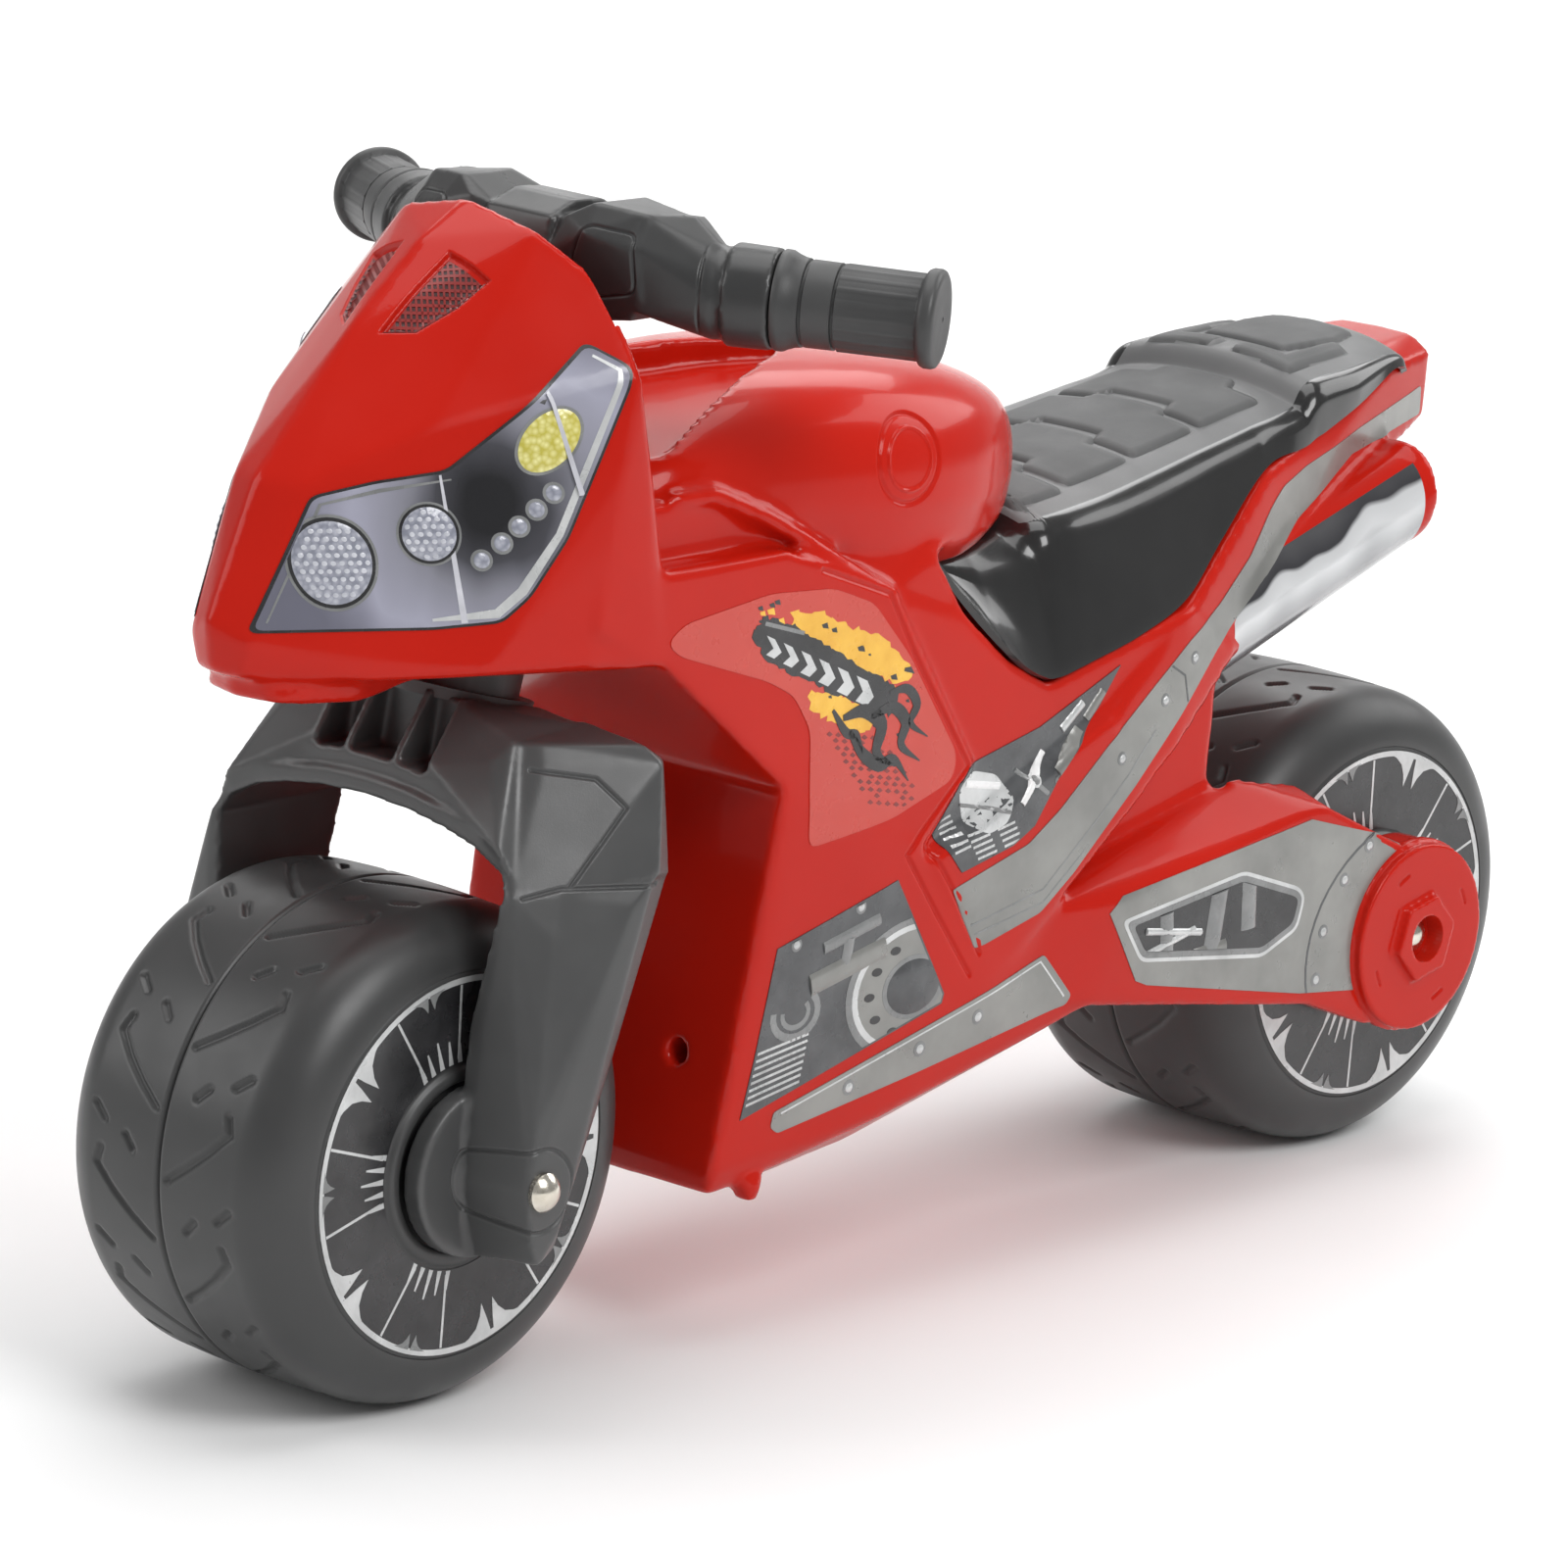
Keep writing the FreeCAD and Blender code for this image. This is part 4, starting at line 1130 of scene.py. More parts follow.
def close_ends(obj):
    """Welds points that meet and fills what is left open."""
    form = bmesh.new()
    form.from_mesh(obj.data)
    bmesh.ops.remove_doubles(form, verts=form.verts, dist=1e-6)
    rim = [e for e in form.edges if e.is_boundary]
    bmesh.ops.holes_fill(form, edges=rim, sides=0)
    bmesh.ops.recalc_face_normals(form, faces=form.faces)
    form.to_mesh(obj.data)
    form.free()


BLACK_PLASTIC = dark_plastic("black_moulded_plastic", 0.030, (0.26, 0.40), 0.10)
FORK_PLASTIC = dark_plastic("fork_plastic", 0.057, (0.28, 0.42), 0.10)
GRIP_PLASTIC = dark_plastic("grip_rubber", 0.036, (0.38, 0.52), 0.16)
fork()
handlebar()
grip()


# ---------------------------------------------------------------- seat

# along the seat: y, height of the crown, half width of the top, half width and height of the rim
SEAT = [(-30, 303, 50, 69, 298, 3), (-12, 300, 46, 72.5, 277, 14), (4, 298.5, 44, 75, 261, 20),
        (19, 298, 44, 76, 248.5, 22), (33, 299, 46, 76.1, 241.8, 20),
        (39, 301, 50, 75.9, 241.2, 14), (44, 303.8, 54.5, 75.6, 241.6, 11),
        (52, 305, 56, 75.3, 243, 10.5), (60, 305.8, 56.5, 75, 244.5, 10.5),
        (90, 308.5, 55, 74, 250.5, 10.5), (123, 313, 52.5, 70, 260.5, 10),
        (150, 317, 50.5, 64, 280, 9), (184, 322, 48.5, 57, 303, 8), (213, 327, 47.5, 53.5, 308, 7),
        (220, 334.5, 47, 52.5, 310.5, 8), (226, 336.2, 46.6, 52, 312, 8),
        (250, 337.5, 45, 49.5, 320, 7), (276, 338.5, 41, 44, 328, 4),
        (286, 338.3, 39, 41.5, 329, 3), (291, 336.9, 37.6, 40, 327.5, 2),
        (294, 332.5, 36.6, 38.6, 325, 1)]
SEAT_ROWS = 270
TOP_END, SHOULDER_END = 0.55, 0.70  # where the top and the rounded shoulder end, across a row
SHOULDER_BEND = math.radians(66)
CROWN_HEIGHT = 6
PAD_HEIGHT = 1.8
WALL = 2.6

# raised pads on the rider's left half, as plans (x, y)
PADS = [[(0, 51), (17, 51), (20, 47), (45, 47), (44, 73), (21, 73), (18, 81), (0, 81)]]
PADS += [[(0, y + 8), (16, y + 8), (19, y), (reach, y), (reach - 1.5, y + 36), (20, y + 36),
          (17, y + 43), (0, y + 43)] for y, reach in ((81, 41), (124, 38.5), (167, 37))]
REAR_PADS = [[(0, 238), (20, 238), (24, 266), (20, 280), (0, 282)],
             [(6, 224), (37, 222), (34, 260), (26, 264), (27, 231), (6, 231)]]


def seat_point(y, t):
    """A point of the seat's left half; t runs from the middle line (0) to the rim (1)."""
    crown, half, rim_x, rim_z, around = through(SEAT, y)
    shoulder = crown - CROWN_HEIGHT
    if t < TOP_END:
        x = half * t / TOP_END
        return x, shoulder + CROWN_HEIGHT * (1 - (x / half) ** 2.4)
    a = SHOULDER_BEND * min(1.0, (t - TOP_END) / (SHOULDER_END - TOP_END))
    r = min(around, (shoulder - rim_z) * 0.6)
    x, z = half + r * math.sin(a) * 0.9, shoulder - r * (1 - math.cos(a))
    u = max(0.0, (t - SHOULDER_END) / (1 - SHOULDER_END))
    return x + (rim_x - x) * u, z + (rim_z - z) * u


def pad_height(x, y):
    """How far the seat's padding stands up at a point of its plan."""
    rise = 0.0
    for loop in PADS + REAR_PADS:
        ys = [b for _, b in loop]
        if min(ys) - 3 < y < max(ys) + 3:
            away = min(segment_distance((abs(x), y), a, b)
                       for a, b in zip(loop, loop[1:] + loop[:1]) if not a[0] == b[0] == 0)
            signed = away if crosses(loop, max(abs(x), 0.01), y) else -away
            rise = max(rise, min(1.0, max(0.0, 0.5 + signed / 1.6)))
    return rise


def segment_distance(p, a, b):
    """How far a point is from a straight line between two others."""
    along = (b[0] - a[0], b[1] - a[1])
    length = along[0] ** 2 + along[1] ** 2
    t = ((p[0] - a[0]) * along[0] + (p[1] - a[1]) * along[1]) / length
    t = min(1.0, max(0.0, t))
    return math.hypot(p[0] - a[0] - t * along[0], p[1] - a[1] - t * along[1])


def tank_edge(y, gap=0.6):
    """Where a row of the seat comes out of the tank: the largest t that is still inside it."""
    if y > TANK[-1][0]:
        return 0.0
    section = [(x + gap, z + gap) for x, _, z in tank_section(y)]
    loop = [(-1, section[0][1])] + section + [(-1, section[-1][1])]
    for t in np.linspace(1, 0, 240):
        if crosses(loop, *seat_point(y, t)):
            return float(t)
    return 0.0


# how far across a row its points lie: on the top, round the shoulder and down the skirt
SPREAD = np.concatenate([np.linspace(0, TOP_END, 42), np.linspace(0.565, SHOULDER_END, 12),
                         np.linspace(0.72, 1, 18)])


def seat_row(y, start):
    """Half a row from the middle line or the tank's side, as (x, y, z, material slot)."""
    row = []
    for t in start + (1 - start) * SPREAD:
        x, z = seat_point(y, t)
        pad = pad_height(x, y) if t < TOP_END else 0.0
        slot = 2 if pad > 0.5 else 1 if t < TOP_END and 43 < y < 292 else 0
        row.append((x, y, z + pad * PAD_HEIGHT, slot))
    if start == 0.0:
        row[0] = (0, *row[0][1:])
    return row


def seat():
    """The saddle cover: matt pads on a paler top, and a glossy skirt with a rounded rim."""
    points, faces, slots, before = [], [], [], None
    for y in np.linspace(SEAT[0][0], SEAT[-1][0], SEAT_ROWS):
        start = tank_edge(y)
        if start > 0.97:
            continue
        row = seat_row(y, start)
        count = len(row)
        base = len(points)
        if before is not None:
            for right in (0, count):
                for i in range(right, right + count - 1):
                    face = (before + i, before + i + 1, base + i + 1, base + i)
                    faces.append(face if right else face[::-1])
                    slots.append(row[i - right][3])
        before = base
        points += [(x, y, z) for x, y, z, _ in row] + [(-x, y, z) for x, y, z, _ in row]
    mesh = bpy.data.meshes.new("saddle")
    mesh.from_pydata([tuple(Vector(p) * MM) for p in points], [], faces)
    for face, slot in zip(mesh.polygons, slots):
        face.material_index = slot
    form = bmesh.new()
    form.from_mesh(mesh)
    bmesh.ops.remove_doubles(form, verts=form.verts, dist=1e-6)
    form.to_mesh(mesh)
    form.free()
    made = new_object("saddle", mesh, SEAT_GLOSS, SEAT_TOP, SEAT_PAD)
    shell = made.modifiers.new("wall", "SOLIDIFY")
    shell.thickness = WALL * MM
    shell.offset = -1
    applied(made)
    made.data.set_sharp_from_angle(angle=math.radians(40))
    joins(made, "body", "seat_plastic", "seat")


SEAT_GLOSS = dark_plastic("seat_gloss", 0.013, (0.13, 0.24), 0.02, Coat_Weight=0.35)
SEAT_TOP = dark_plastic("seat_top", 0.115, (0.34, 0.46), 0.25)
SEAT_PAD = dark_plastic("seat_pad", 0.075, (0.42, 0.55), 0.40, Specular_IOR_Level=0.28)
seat()


# ---------------------------------------------------------------- films on the body

SIDE = onto_side(BODY)


def inset(loop, gap):
    """A loop moved inwards by a gap."""
    moved = []
    for before, here, after in zip(loop[-1:] + loop[:-1], loop, loop[1:] + loop[:1]):
        here = Vector(here)
        a, b = (here - Vector(before)).normalized(), (Vector(after) - here).normalized()
        normal = Vector((-(a + b).y, (a + b).x)).normalized()
        if not crosses(loop, *(here + normal * gap)):
            normal = -normal
        stretch = 1 / max(0.4, abs(normal.dot(Vector((-a.y, a.x)))))
        moved.append(tuple(here + normal * gap * stretch))
    return moved


def torn(loop, seed, size, step):
    """A loop with a ragged, hand-brushed edge."""
    random = np.random.default_rng(seed)
    return [(u + random.uniform(-size, size), v + random.uniform(-size, size) * 0.7)
            for u, v in resampled(loop, step)]


def smoke():
    """The lamp housing: dark in its middle, clearing to pale grey at its ends."""
    s = Shader("lamp_housing")
    away = s.add("ShaderNodeVectorMath", operation="DISTANCE")
    s.link(s.place, away.inputs[0])
    away.inputs[1].default_value = (0.055, -0.258, 0.350)
    wavy = s.math("ADD", away.outputs["Value"],
                  s.math("MULTIPLY", s.noise(38, 2, where=s.stretch((1, 1, 0.5))), 0.024))
    s.colour(s.ramp(s.math("MULTIPLY", wavy, 11.0),
                    [(0.22, (0.006, 0.006, 0.008)), (0.38, (0.05, 0.05, 0.06)),
                     (0.52, (0.22, 0.22, 0.26)), (0.72, (0.34, 0.34, 0.42)),
                     (0.96, (0.13, 0.13, 0.17))]))
    s.rough_patches(80, 3, 0.10, 0.18)
    s.grain(300, 0.04)
    s.set(IOR=1.5, Coat_Weight=0.6, Coat_Roughness=0.05)
    return s.material


def lens(name, low, high):
    """Clear moulded lamp glass with a fine honeycomb in it."""
    s = Shader(name)
    cells = s.add("ShaderNodeTexVoronoi", feature="F1")
    s.link(s.place, cells.inputs["Vector"])
    cells.inputs["Scale"].default_value = 420
    s.colour(s.ramp(cells.outputs["Distance"], [(0.1, high), (0.75, low)]))
    s.rough_patches(90, 2, 0.08, 0.16)
    s.bump(cells.outputs["Distance"], 0.35, 0.0006)
    s.set(IOR=1.5, Coat_Weight=0.5, Coat_Roughness=0.04)
    return s.material


BEAD_PITCH = 2.7


def lamp(film, centre, radius, squash, rim):
    """A round lamp: a bezel, a domed lens and a honeycomb of small beads."""
    film.disc(centre, radius + rim, 0.62, INK_GREY, squash=squash)
    film.disc(centre, radius + rim * 0.55, 0.72, INK_BLACK, squash=squash)
    film.disc(centre, radius, 0.80, LENS, dome=1.1, squash=squash)
    for i in range(-8, 9):
        for j in range(-8, 9):
            u, v = (i + 0.5 * (j % 2)) * BEAD_PITCH, j * BEAD_PITCH * 0.87 * squash
            away = math.hypot(u, v / squash) / radius
            if away < 0.90:
                lift = 0.75 + 1.1 * math.sqrt(1 - away * away)
                film.disc((centre[0] + u, centre[1] + v), 0.95, lift, BEAD, dome=0.35, step=0.9)


HEADLIGHT = [(-340, 304), (-316, 353), (-296, 358.5), (-274, 362), (-220, 406), (-210, 398),
             (-212, 391), (-236, 336), (-250, 315), (-260, 306), (-282, 304)]


def headlight():
    film = Print(SIDE)
    film.patch(softened_corners(HEADLIGHT, 3), GROUND, INK_BLACK)
    film.patch(softened_corners(inset(HEADLIGHT, 1.0), 3), 0.52, SMOKE)
    film.clip = inset(HEADLIGHT, 1.4)
    # a painted highlight, a pale line that swells along the bottom and the back, and a thin grey one
    # along the front
    rim = inset(HEADLIGHT, 3.6)
    film.stroke(rim[10:11] + rim[9:3:-1], [1.0, 3.4, 3.4, 2.6, 1.8, 1.6, 1.0], 0.62, PALE_SILVER)
    film.stroke(rim[:4], [0.6, 1.0, 1.4, 0.6], 0.62, INK_GREY)
    lamp(film, (-312, 329), 12.4, 1.22, 2.0)
    lamp(film, (-281, 339), 8.6, 1.14, 1.7)
    # the amber lamp, a row of small lamps, and two painted highlights: pale streaks standing in for
    # light on the glass
    turn = math.radians(51)
    film.disc((-240, 372), 14.4, 0.62, INK_GREY, squash=0.64, turn=turn)
    film.disc((-240, 372), 13.2, 0.74, AMBER, dome=1.0, squash=0.62, turn=turn)
    for u, v in ((-265, 329), (-258, 335), (-252, 341), (-246, 347), (-240, 353)):
        film.disc((u, v), 3.6, 0.62, INK_GREY, squash=1.12)
        film.disc((u, v), 2.6, 0.72, LENS, dome=0.6, squash=1.12)
    film.stroke([(-239, 391), (-231, 352)], [1.2, 1.8], 1.70, PAINTED_HIGHLIGHT_STREAK)
    film.stroke([(-276, 361), (-272, 305)], [0.8, 2.2], 0.66, PAINTED_HIGHLIGHT_STREAK)
    film.pair("headlight_film", "headlight_print", "headlight_decal")


SIDE_PANEL = [(-187, 290), (-178, 296), (-131, 301), (-96, 298), (-73, 289), (-51, 265), (-21, 221),
              (-23, 211), (-57, 201), (-104, 197), (-106, 244), (-116, 259), (-131, 267),
              (-180, 284)]


def flame(film, corners, width):
    """A licking flame: thick in its middle and drawn out to a point."""
    keys = [(i, *corner) for i, corner in enumerate(corners)]
    last = len(corners) - 1
    line = [tuple(through(keys, at)) for at in np.linspace(0, last, last * 6 + 1)]
    film.stroke(line, [max(0.5, width * math.sin(math.pi * (0.12 + 0.86 * i / (len(line) - 1))))
                       for i in range(len(line))], 0.62, INK_BLACK)


def side_panel():
    """A faint film with brushed patches, chevrons, flames and a tyre track."""
    random = np.random.default_rng(11)
    film = Print(SIDE)
    film.patch(softened_corners(SIDE_PANEL, 5), 0.35, FILM_RED, step=4)
    film.clip = inset(SIDE_PANEL, 2)
    film.patch(torn([(-119, 293), (-104, 290), (-84, 281), (-66, 274), (-50, 260), (-52, 254),
                     (-66, 258), (-84, 266), (-104, 276), (-118, 283)], 3, 1.8, 2.4), 0.42, YELLOW)
    film.patch(torn([(-108, 260), (-92, 256), (-78, 249), (-66, 244), (-74, 238), (-90, 243),
                     (-106, 252)], 4, 1.6, 2.4), 0.42, YELLOW)
    film.patch(torn([(-141, 288), (-134, 292), (-120, 288), (-100, 277), (-78, 264), (-56, 252),
                     (-62, 243), (-72, 246), (-92, 256), (-112, 265), (-134, 276)], 5, 1.4, 2.2),
               0.50, INK_BLACK)
    # a row of chevrons that grow towards the back, and a thin bar over it
    u, v = -133.0, 281.5
    for k in range(6):
        tall, wide = 7.5 + 0.5 * k, 4.6 + 0.35 * k
        film.patch([(u, v + tall / 2), (u + wide, v + tall / 2 - 0.48 * wide),
                    (u + wide + 4, v - 0.48 * (wide + 4)), (u + wide, v - tall / 2 - 0.48 * wide),
                    (u, v - tall / 2), (u + 4, v - 1.92)], 0.58, PALE_SILVER, step=2)
        u, v = u + wide + 5.0, v - (wide + 5.0) * 0.48
    film.line([(-134, 290), (-112, 283)], 1.6, 0.58, INK_GREY)
    # specks thrown off the brushed patches
    for _ in range(46):
        u = random.uniform(-140, -52)
        v = 286 - (u + 132) * 0.47 + random.normal(0, 9)
        size = random.uniform(0.7, 2.2)
        film.patch([(u, v), (u + size * 1.8, v - size * 0.4), (u + size * 1.3, v + size),
                    (u - size * 0.4, v + size * 0.8)], 0.46, INK_BLACK if random.random() < 0.6
                   else YELLOW, step=2)
    for corners, width in (([(-88, 246), (-76, 247), (-66, 240), (-68, 229), (-57, 222)], 6.5),
                           ([(-72, 244), (-60, 246), (-52, 239), (-54, 230), (-43, 222)], 5.5),
                           ([(-84, 240), (-76, 230), (-66, 224), (-58, 225), (-49, 215)], 5.5),
                           ([(-62, 252), (-52, 252), (-46, 245), (-49, 238), (-39, 231)], 4.5),
                           ([(-94, 250), (-86, 240), (-80, 238), (-76, 230)], 4.0),
                           ([(-54, 260), (-46, 258), (-42, 251), (-36, 247)], 3.5)):
        flame(film, corners, width)
    # the tyre track: rows of small lozenges
    for i in range(11):
        for j in range(7):
            u = -97 + j * 5.0 + i * 2.5 + (i % 2) * 1.2
            v = 241 - i * 3.1 - j * 1.1
            if random.random() < 0.86:
                film.patch([(u, v), (u + 1.9, v - 1.2), (u + 3.6, v - 0.6), (u + 1.7, v + 0.9)],
                           0.44, INK_MAROON, step=3)
    film.pair("side_film", "side_print", "side_decal")


def engine_upper():
    """A printed engine: a pale bowl, blocks of fins, struts and pipes on a dark ground."""
    outline = [(78, 241), (66, 226), (38, 202), (25, 185), (13, 179), (-17, 173), (-31, 190),
               (-17, 206), (-12, 214), (31, 223)]
    film = Print(SIDE)
    film.patch(outline, 0.46, INK_DARK, step=2)
    film.clip = inset(outline, 0.8)
    # a pale float bowl with two bands round it
    film.patch(softened_corners([(-16, 206), (-9, 212), (6, 208), (13, 200), (9, 189), (-2, 186),
                                 (-13, 191)], 3), 0.50, PALE_SILVER, step=2)
    film.bar((-15, 199), (10, 193), 1.6, 0.58, INK_GREY, 0.4)
    film.bar((-12, 207), (8, 203), 3.0, 0.58, WHITE_INK, 0.4)
    # blocks of cooling fins under it
    for k in range(6):
        for u, v, reach in ((-29, 194, 9), (-14, 187, 11), (3, 187, 10)):
            film.bar((u + k * 1.5, v - k * 2.5), (u + reach + k * 1.5, v + 1.6 - k * 2.5), 1.1,
                     0.48, PALE_SILVER, 0.3)
    # crossed struts
    film.bar((17, 195), (33, 213), 3.2, 0.52, WHITE_INK, 0.7)
    film.bar((17, 208), (32, 197), 2.0, 0.50, INK_GREY, 0.5)
    film.disc((25, 203), 2.6, 0.90, PALE_SILVER, dome=0.25)
    film.disc((25, 203), 2.6 * 0.62, 1.05, INK_GREY, dome=0.7)
    # the pipes behind them
    film.bar((38, 204), (54, 218), 7.0, 0.48, SILVER, 0.9)
    film.bar((44, 220), (56, 229), 4.0, 0.50, PALE_SILVER, 0.8)
    film.bar((58, 222), (68, 232), 4.4, 0.48, SILVER, 0.8)
    film.rivets(2.4, (38, 201), level=0.66)
    film.pair("engine_film_upper", "engine_print", "engine_decal_upper")


def engine_lower():
    """A printed crankcase: a clutch cover, pipes, a duct and cooling fins."""
    outline = [(-53, 176), (-23, 125), (-24, 121), (-130, 92), (-117, 159)]
    film = Print(SIDE)
    film.patch(outline, GROUND, INK_DARK, step=4)
    film.clip = inset(outline, 1.0)
    film.bar((-98, 141), (-58, 150), 9.0, 0.48, SILVER, 0.9)
    film.bar((-92, 155), (-62, 162), 5.0, 0.46, INK_GREY, 0.7)
    film.bar((-80, 143), (-78, 157), 5.5, 0.52, INK_GREY, 0.8)
    clutch, squash = (-41, 131), 0.77
    for radius, level, ink, hole, dome in (
            (37, 0.54, INK_GREY, 33.5, 0), (33.5, 0.62, PALE_SILVER, 30.5, 0),
            (30.5, 0.56, SILVER, 0, 0), (17, 0.64, INK_GREY, 0, 0), (14.5, 0.70, INK_DARK, 0, 1.4)):
        film.disc(clutch, radius, level, ink, hole, dome, squash)
    for degrees in (118, 150, 182, 214, 246):
        t = math.radians(degrees)
        slot = (clutch[0] + 24 * math.cos(t), clutch[1] + 24 * squash * math.sin(t))
        film.disc(slot, 2.8, 0.70, INK_BLACK, squash=0.6)
    for radius, width in ((12, 3.2), (7, 2.2)):
        arc = [(-105 + radius * math.cos(t), 131 + radius * 0.8 * math.sin(t))
               for t in np.linspace(math.radians(170), math.radians(400), 14)]
        film.stroke(arc, [width] * 14, 0.48, INK_GREY)
    for k in range(8):
        film.bar((-126 - 0.6 * k, 117.5 - 2.9 * k), (-97 - 0.4 * k, 121.5 - 2.7 * k), 1.1, 0.46,
                 PALE_SILVER, 0.3)
    film.rivets(2.8, (-73, 168.5), (-107, 159))
    film.pair("engine_film_lower", "engine_print", "engine_decal_lower")


def sill():
    outline = [(-112, 92), (36, 130), (52, 111), (50, 107), (-109, 83), (-113, 86)]
    film = Print(SIDE)
    film.patch(softened_corners(outline, 1.5), GROUND, SILVER, step=4)
    film.line([(-108, 91), (34, 127.5), (48, 111)], 0.8, 0.48, PALE_SILVER)
    film.rivets(3.2, (-72, 95), (-34, 104), (-2, 111.5))
    film.pair("sill_film", "silver_print", "sill_decal")


FRAME_UPPER = [(316, 316), (258, 308), (214, 299.5), (197, 294), (186, 286), (169, 270),
               (145, 255.5), (120, 244), (96, 229), (68, 211), (40, 189), (22, 178), (-21, 167)]
FRAME_LOWER = [(-7, 140), (31, 148.5), (50, 161.5), (81, 188), (112.5, 213.5), (141.5, 238),
               (160, 249), (182, 262), (208, 279), (253, 298), (316, 304)]


def frame_strip():
    """The long silver strip from the side panel up to the tail."""
    film = Print(SIDE)
    outline = FRAME_UPPER + FRAME_LOWER
    film.patch(softened_corners(outline, 2), GROUND, SILVER, step=4)
    film.clip = inset(outline, 0.5)
    film.line([(108, 236.5), (117, 231), (119, 221), (121, 215)], 1.0, 0.50, INK_DARK)
    film.line([(-12, 150), (32, 158), (66, 184), (98, 212)], 0.7, 0.48, INK_GREY)
    film.line([(-10, 146), (32, 152.5), (56, 170)], 0.6, 0.48, INK_GREY)
    film.rivets(2.8, (124, 237), (104, 223), (76, 204))
    film.pair("frame_film", "silver_print", "frame_decal_lower", "frame_decal_upper")


def arm_print():
    """The silver film on a rear arm, with a printed window and a riveted band."""
    cover = [(REAR_HUB[0] + 41.5 * math.cos(t), REAR_HUB[1] + 41.5 * math.sin(t))
             for t in np.linspace(math.radians(97), math.radians(204), 16)]
    outline = [(72, 141), (80, 147), (196, 159.5)] + cover + [(194, 86), (97, 107), (90, 110)]
    window = [(79, 137), (154, 145), (190, 132), (194, 127), (190, 114), (168, 106), (92, 117.5)]
    film = Print(SIDE)
    film.patch(outline, GROUND, SILVER, step=4)
    film.patch(softened_corners(window, 4), 0.50, PALE_SILVER, step=4)
    film.patch(softened_corners(inset(window, 1.6), 3.5), 0.60, INK_GREY, step=4)
    film.patch(softened_corners(inset(window, 4.2), 3), 0.70, INK_BLACK, step=4)
    film.clip = inset(window, 4.6)
    for strip in (((108, 112), (106, 138), 8, 0.76, INK_GREY, 0.9),
                  ((134, 108), (140, 146), 10, 0.76, INK_GREY, 1.0),
                  ((158, 120), (157, 148), 9, 0.76, INK_GREY, 0.9),
                  ((124, 114), (144, 115), 7, 0.84, SILVER, 0.8),
                  ((94, 120), (124, 126), 3.0, 0.95, PALE_SILVER, 0.8),
                  ((94, 130), (128, 124), 3.0, 1.00, PALE_SILVER, 0.8)):
        film.bar(*strip)
    film.clip = outline
    band = [(REAR_HUB[0] + 70 * math.cos(t), REAR_HUB[1] + 70 * 0.80 * math.sin(t) - 2)
            for t in np.linspace(math.radians(112), math.radians(200), 14)]
    film.stroke(band, [1.2] * 14, 0.48, INK_DARK)
    film.rivets(3.0, (234, 142), (219, 130), (207, 110), (204, 90))
    film.pair("arm_film", "silver_print", "arm_decal")


def vent():
    """A dark woven panel at the bottom of a vent."""
    film = Print(onto_top(BODY))
    loop = inset(VENT, 0.9)
    film.patch(loop, 0.2, MAROON, step=2)
    film.clip = loop
    for k in range(-12, 16):
        y = -256 + k * 2.6
        for rise in (14, -14):
            film.stroke([(0, y - rise), (36, y + rise)], [0.8, 0.8], 0.5, MESH_RED)
    film.pair("vent_grille", "vent_mesh", "vent_mesh")


def chrome():
    """A printed chrome pipe: a dark sky, a bright wavy band and a grey ground."""
    s = Shader("printed_chrome")
    split = s.add("ShaderNodeSeparateXYZ")
    s.link(s.place, split.inputs[0])
    y, z = split.outputs["Y"], split.outputs["Z"]
    slope = EXHAUST_RISE / (EXHAUST_END - EXHAUST_START)
    lift = s.math("SUBTRACT", z, s.math("MULTIPLY", y, slope))
    wave = s.math("MULTIPLY", s.noise(30, 1, where=s.stretch((0.2, 1, 0.4))), 0.018)
    level = s.math("ADD", s.math("SUBTRACT", lift, 0.1746), wave)
    s.colour(s.ramp(s.math("MULTIPLY", level, 22.7),
                    [(0.05, (0.12, 0.12, 0.13)), (0.26, (0.19, 0.19, 0.20)),
                     (0.46, (0.40, 0.41, 0.42)), (0.64, (0.66, 0.67, 0.68)),
                     (0.78, (0.56, 0.57, 0.58)), (0.82, (0.03, 0.03, 0.035)),
                     (1.00, (0.07, 0.07, 0.075))]))
    s.rough_patches(60, 3, 0.12, 0.22)
    s.grain(400, 0.05)
    s.set(IOR=1.5, Coat_Weight=0.5, Coat_Roughness=0.08, Metallic=0.15)
    return s.material


def exhaust_film():
    """A closed thin sleeve over the outer side of an exhaust pipe."""
    angles = np.linspace(math.radians(-112), math.radians(52), 49)
    rows = []
    for y in np.linspace(156, 275, 40):
        centre, radius = exhaust_axis(y)
        rows.append([(centre.x + (radius + lift) * math.cos(t), y,
                      centre.z + (radius + lift) * 1.04 * math.sin(t))
                     for lift, sweep in ((0.45, angles), (-0.4, angles[::-1])) for t in sweep])
    made = new_object("exhaust_sleeve_left",
                      grid_mesh("exhaust_sleeve_left", np.array(rows), False, True), CHROME)
    close_ends(made)
    made.data.set_sharp_from_angle(angle=math.radians(40))
    joins_twice(made, "body", "exhaust_print", "exhaust_decal")


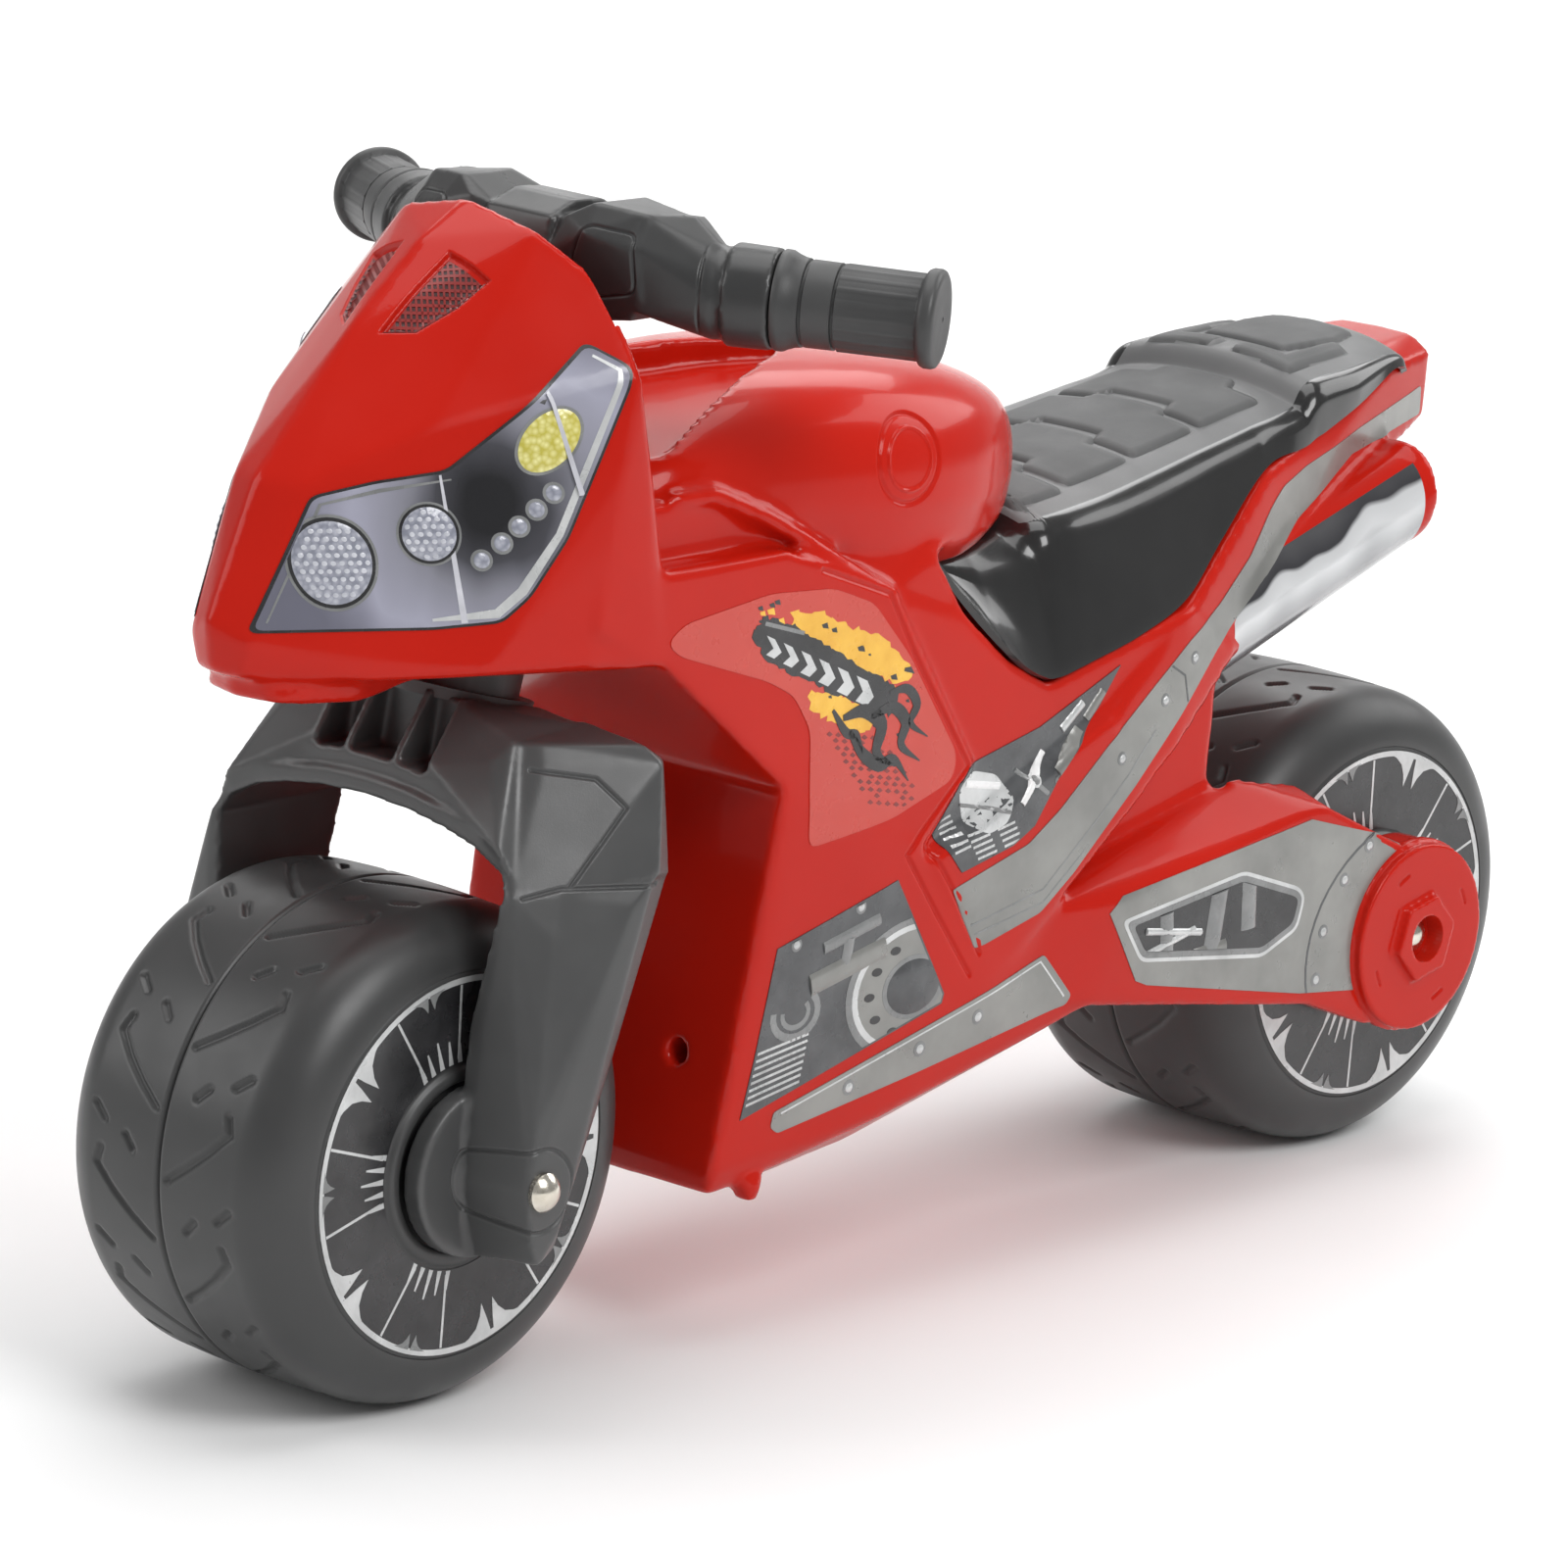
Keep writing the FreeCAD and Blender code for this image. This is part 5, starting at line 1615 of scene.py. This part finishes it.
def hub_cover():
    """The red disc over a rear arm: a stepped rim, a hexagonal boss and a well for the cap."""
    solid = bmesh.new()
    y, z = REAR_HUB
    hull(solid, round_bar((79, y, z), (84, y, z), 41), mirror=False)
    hull(solid, round_bar((83, y, z), (88.4, y, z), 39.4), mirror=False)
    hexagon = [(y + 18.5 * math.cos(t), z + 18.5 * math.sin(t))
               for t in (math.radians(60 * i + 12) for i in range(6))]
    hull(solid, slab(hexagon, 85, 92), mirror=False)
    made = fused("hub_cover_left", solid, 1.0, 2, COVER_RED)
    well = bmesh.new()
    hull(well, round_bar((74, y, z), (96, y, z), 10), mirror=False)
    carve(made, well)
    face = onto_side(made)
    arcs = [traced(face, [(y + 30 * math.cos(t), z + 30 * math.sin(t))
                          for t in np.radians((at, at + 6, at + 12))])
            for at in (20, 110, 200, 290)]
    engrave(made, arcs, 2.0, 0.8, 1)
    joins_twice(made, "body", "red_cover_plastic", "rear_hub_cover")


SMOKE = smoke()
LENS = lens("lamp_lens", (0.22, 0.23, 0.28), (0.42, 0.43, 0.49))
BEAD = printed("lamp_beads", (0.42, 0.43, 0.48), (0.66, 0.67, 0.72), (0.05, 0.10))
AMBER = lens("amber_lens", (0.50, 0.44, 0.07), (0.76, 0.72, 0.30))
# painted highlight: pale streaks drawn on the headlight glass in place of reflected light
PAINTED_HIGHLIGHT_STREAK = printed("painted_highlight_streak", (0.46, 0.46, 0.50), (0.62, 0.62, 0.67), (0.08, 0.14))
FILM_RED = printed("clear_film_over_red", (0.50, 0.034, 0.020), (0.56, 0.046, 0.028), (0.24, 0.34),
                   spots=8)
YELLOW = printed("ink_yellow", (0.72, 0.36, 0.02), (0.86, 0.50, 0.05))
INK_MAROON = printed("ink_maroon", (0.16, 0.012, 0.010), (0.24, 0.018, 0.014))
MAROON = printed("vent_ground", (0.030, 0.004, 0.004), (0.060, 0.008, 0.008), (0.4, 0.6))
MESH_RED = printed("vent_wire", (0.20, 0.012, 0.010), (0.30, 0.020, 0.016), (0.25, 0.4))
CHROME = chrome()
COVER_RED = red_plastic("red_cover_plastic")
headlight()
side_panel()
engine_upper()
engine_lower()
sill()
frame_strip()
arm_print()
vent()
exhaust_film()
hub_cover()


# ---------------------------------------------------------------- CAD pieces that keep their shape

BEARING = dark_plastic("bearing_plastic", 0.06, (0.35, 0.5))
KEPT = {"front_axle": STEEL, "rear_axle": STEEL, "front_axle_caps": STEEL, "rear_axle_caps": STEEL,
        "steering_bolt": STEEL, "steering_washer": STEEL, "steering_sleeve": BEARING,
        "front_wheel_bush": BEARING, "rear_wheel_bush": BEARING}
for node, material in KEPT.items():
    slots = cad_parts[node].data.materials
    slots.clear()
    slots.append(material)


# ---------------------------------------------------------------- stage

def stage():
    """A pale floor that curves up into a wall behind the machine."""
    s = Shader("studio_floor")
    s.colour(s.ramp(s.noise(3, 2), [(0.3, (0.89, 0.89, 0.89)), (0.7, (0.92, 0.92, 0.92))]))
    s.rough(0.75)
    mesh = bpy.data.meshes.new("floor")
    form = bmesh.new()
    outline = [(-9, 0)] + [(4 + 2 * math.sin(t), 2 - 2 * math.cos(t))
                           for t in (math.pi / 2 * i / 24 for i in range(25))] + [(6, 9)]
    heading = Matrix.Rotation(math.radians(42.5), 3, "Z")
    rows = [[form.verts.new(heading @ Vector((x, y, z))) for x in (-9, 9)] for y, z in outline]
    for a, b in zip(rows, rows[1:]):
        form.faces.new((a[0], a[1], b[1], b[0]))
    form.to_mesh(mesh)
    form.free()
    floor = new_object("studio_floor", mesh, s.material)


# each lamp's place, target, size and power
LIGHTS = {"key": ((2.3, -0.4, 2.2), (0, 0, 0.2), (1.4, 1.4), 50),
          "left_fill": ((-1.8, -2.2, 1.6), (0, 0, 0.25), (1.6, 2.0), 24),
          "rear_fill": ((0.6, 2.6, 1.8), (0, 0, 0.25), (1.8, 1.6), 26),
          "top": ((-0.4, 0.2, 2.8), (0, 0, 0), (2.2, 2.2), 38),
          "backdrop": ((-2.6, 2.7, 2.6), (-2.9, 3.0, 0), (3.0, 3.0), 80)}


def lighting():
    for name, (place, target, size, power) in LIGHTS.items():
        data = bpy.data.lights.new(name, "AREA")
        data.shape = "RECTANGLE"
        data.size, data.size_y = size
        data.energy = power
        lamp = linked(name, data)
        lamp.location = place
        aim = Vector(target) - Vector(place)
        lamp.rotation_euler = aim.to_track_quat("-Z", "Y").to_euler()
    world = bpy.data.worlds.new("studio")
    world.use_nodes = True
    background = world.node_tree.nodes["Background"]
    background.inputs["Color"].default_value = (1, 1, 1, 1)
    background.inputs["Strength"].default_value = 0.34
    bpy.context.scene.world = world
    bpy.context.scene.view_settings.view_transform = "Standard"


VIEWPOINT = (2.190, -2.4248, 1.0431)
VIEW_ANGLES = (42.465, 14.669, 2.459)  # azimuth, elevation and roll, in degrees
FOCAL_LENGTH, SENSOR_WIDTH, VIEW_DEPTH = 195.3, 36, 60


def camera():
    data = bpy.data.cameras.new("camera")
    data.lens = FOCAL_LENGTH
    data.sensor_width = SENSOR_WIDTH
    data.clip_end = VIEW_DEPTH
    viewer = linked("camera", data)
    azimuth, elevation, roll = (math.radians(a) for a in VIEW_ANGLES)
    right = Vector((math.cos(azimuth), math.sin(azimuth), 0))
    back = Vector((math.sin(azimuth) * math.cos(elevation), -math.cos(azimuth) * math.cos(elevation),
                   math.sin(elevation)))
    up = back.cross(right)
    # one row each for the view's right, its up and its back
    turn = Matrix((right * math.cos(roll) + up * math.sin(roll),
                   up * math.cos(roll) - right * math.sin(roll), back)).transposed()
    viewer.matrix_world = Matrix.Translation(VIEWPOINT) @ turn.to_4x4()
    bpy.context.scene.camera = viewer


stage()
lighting()
camera()
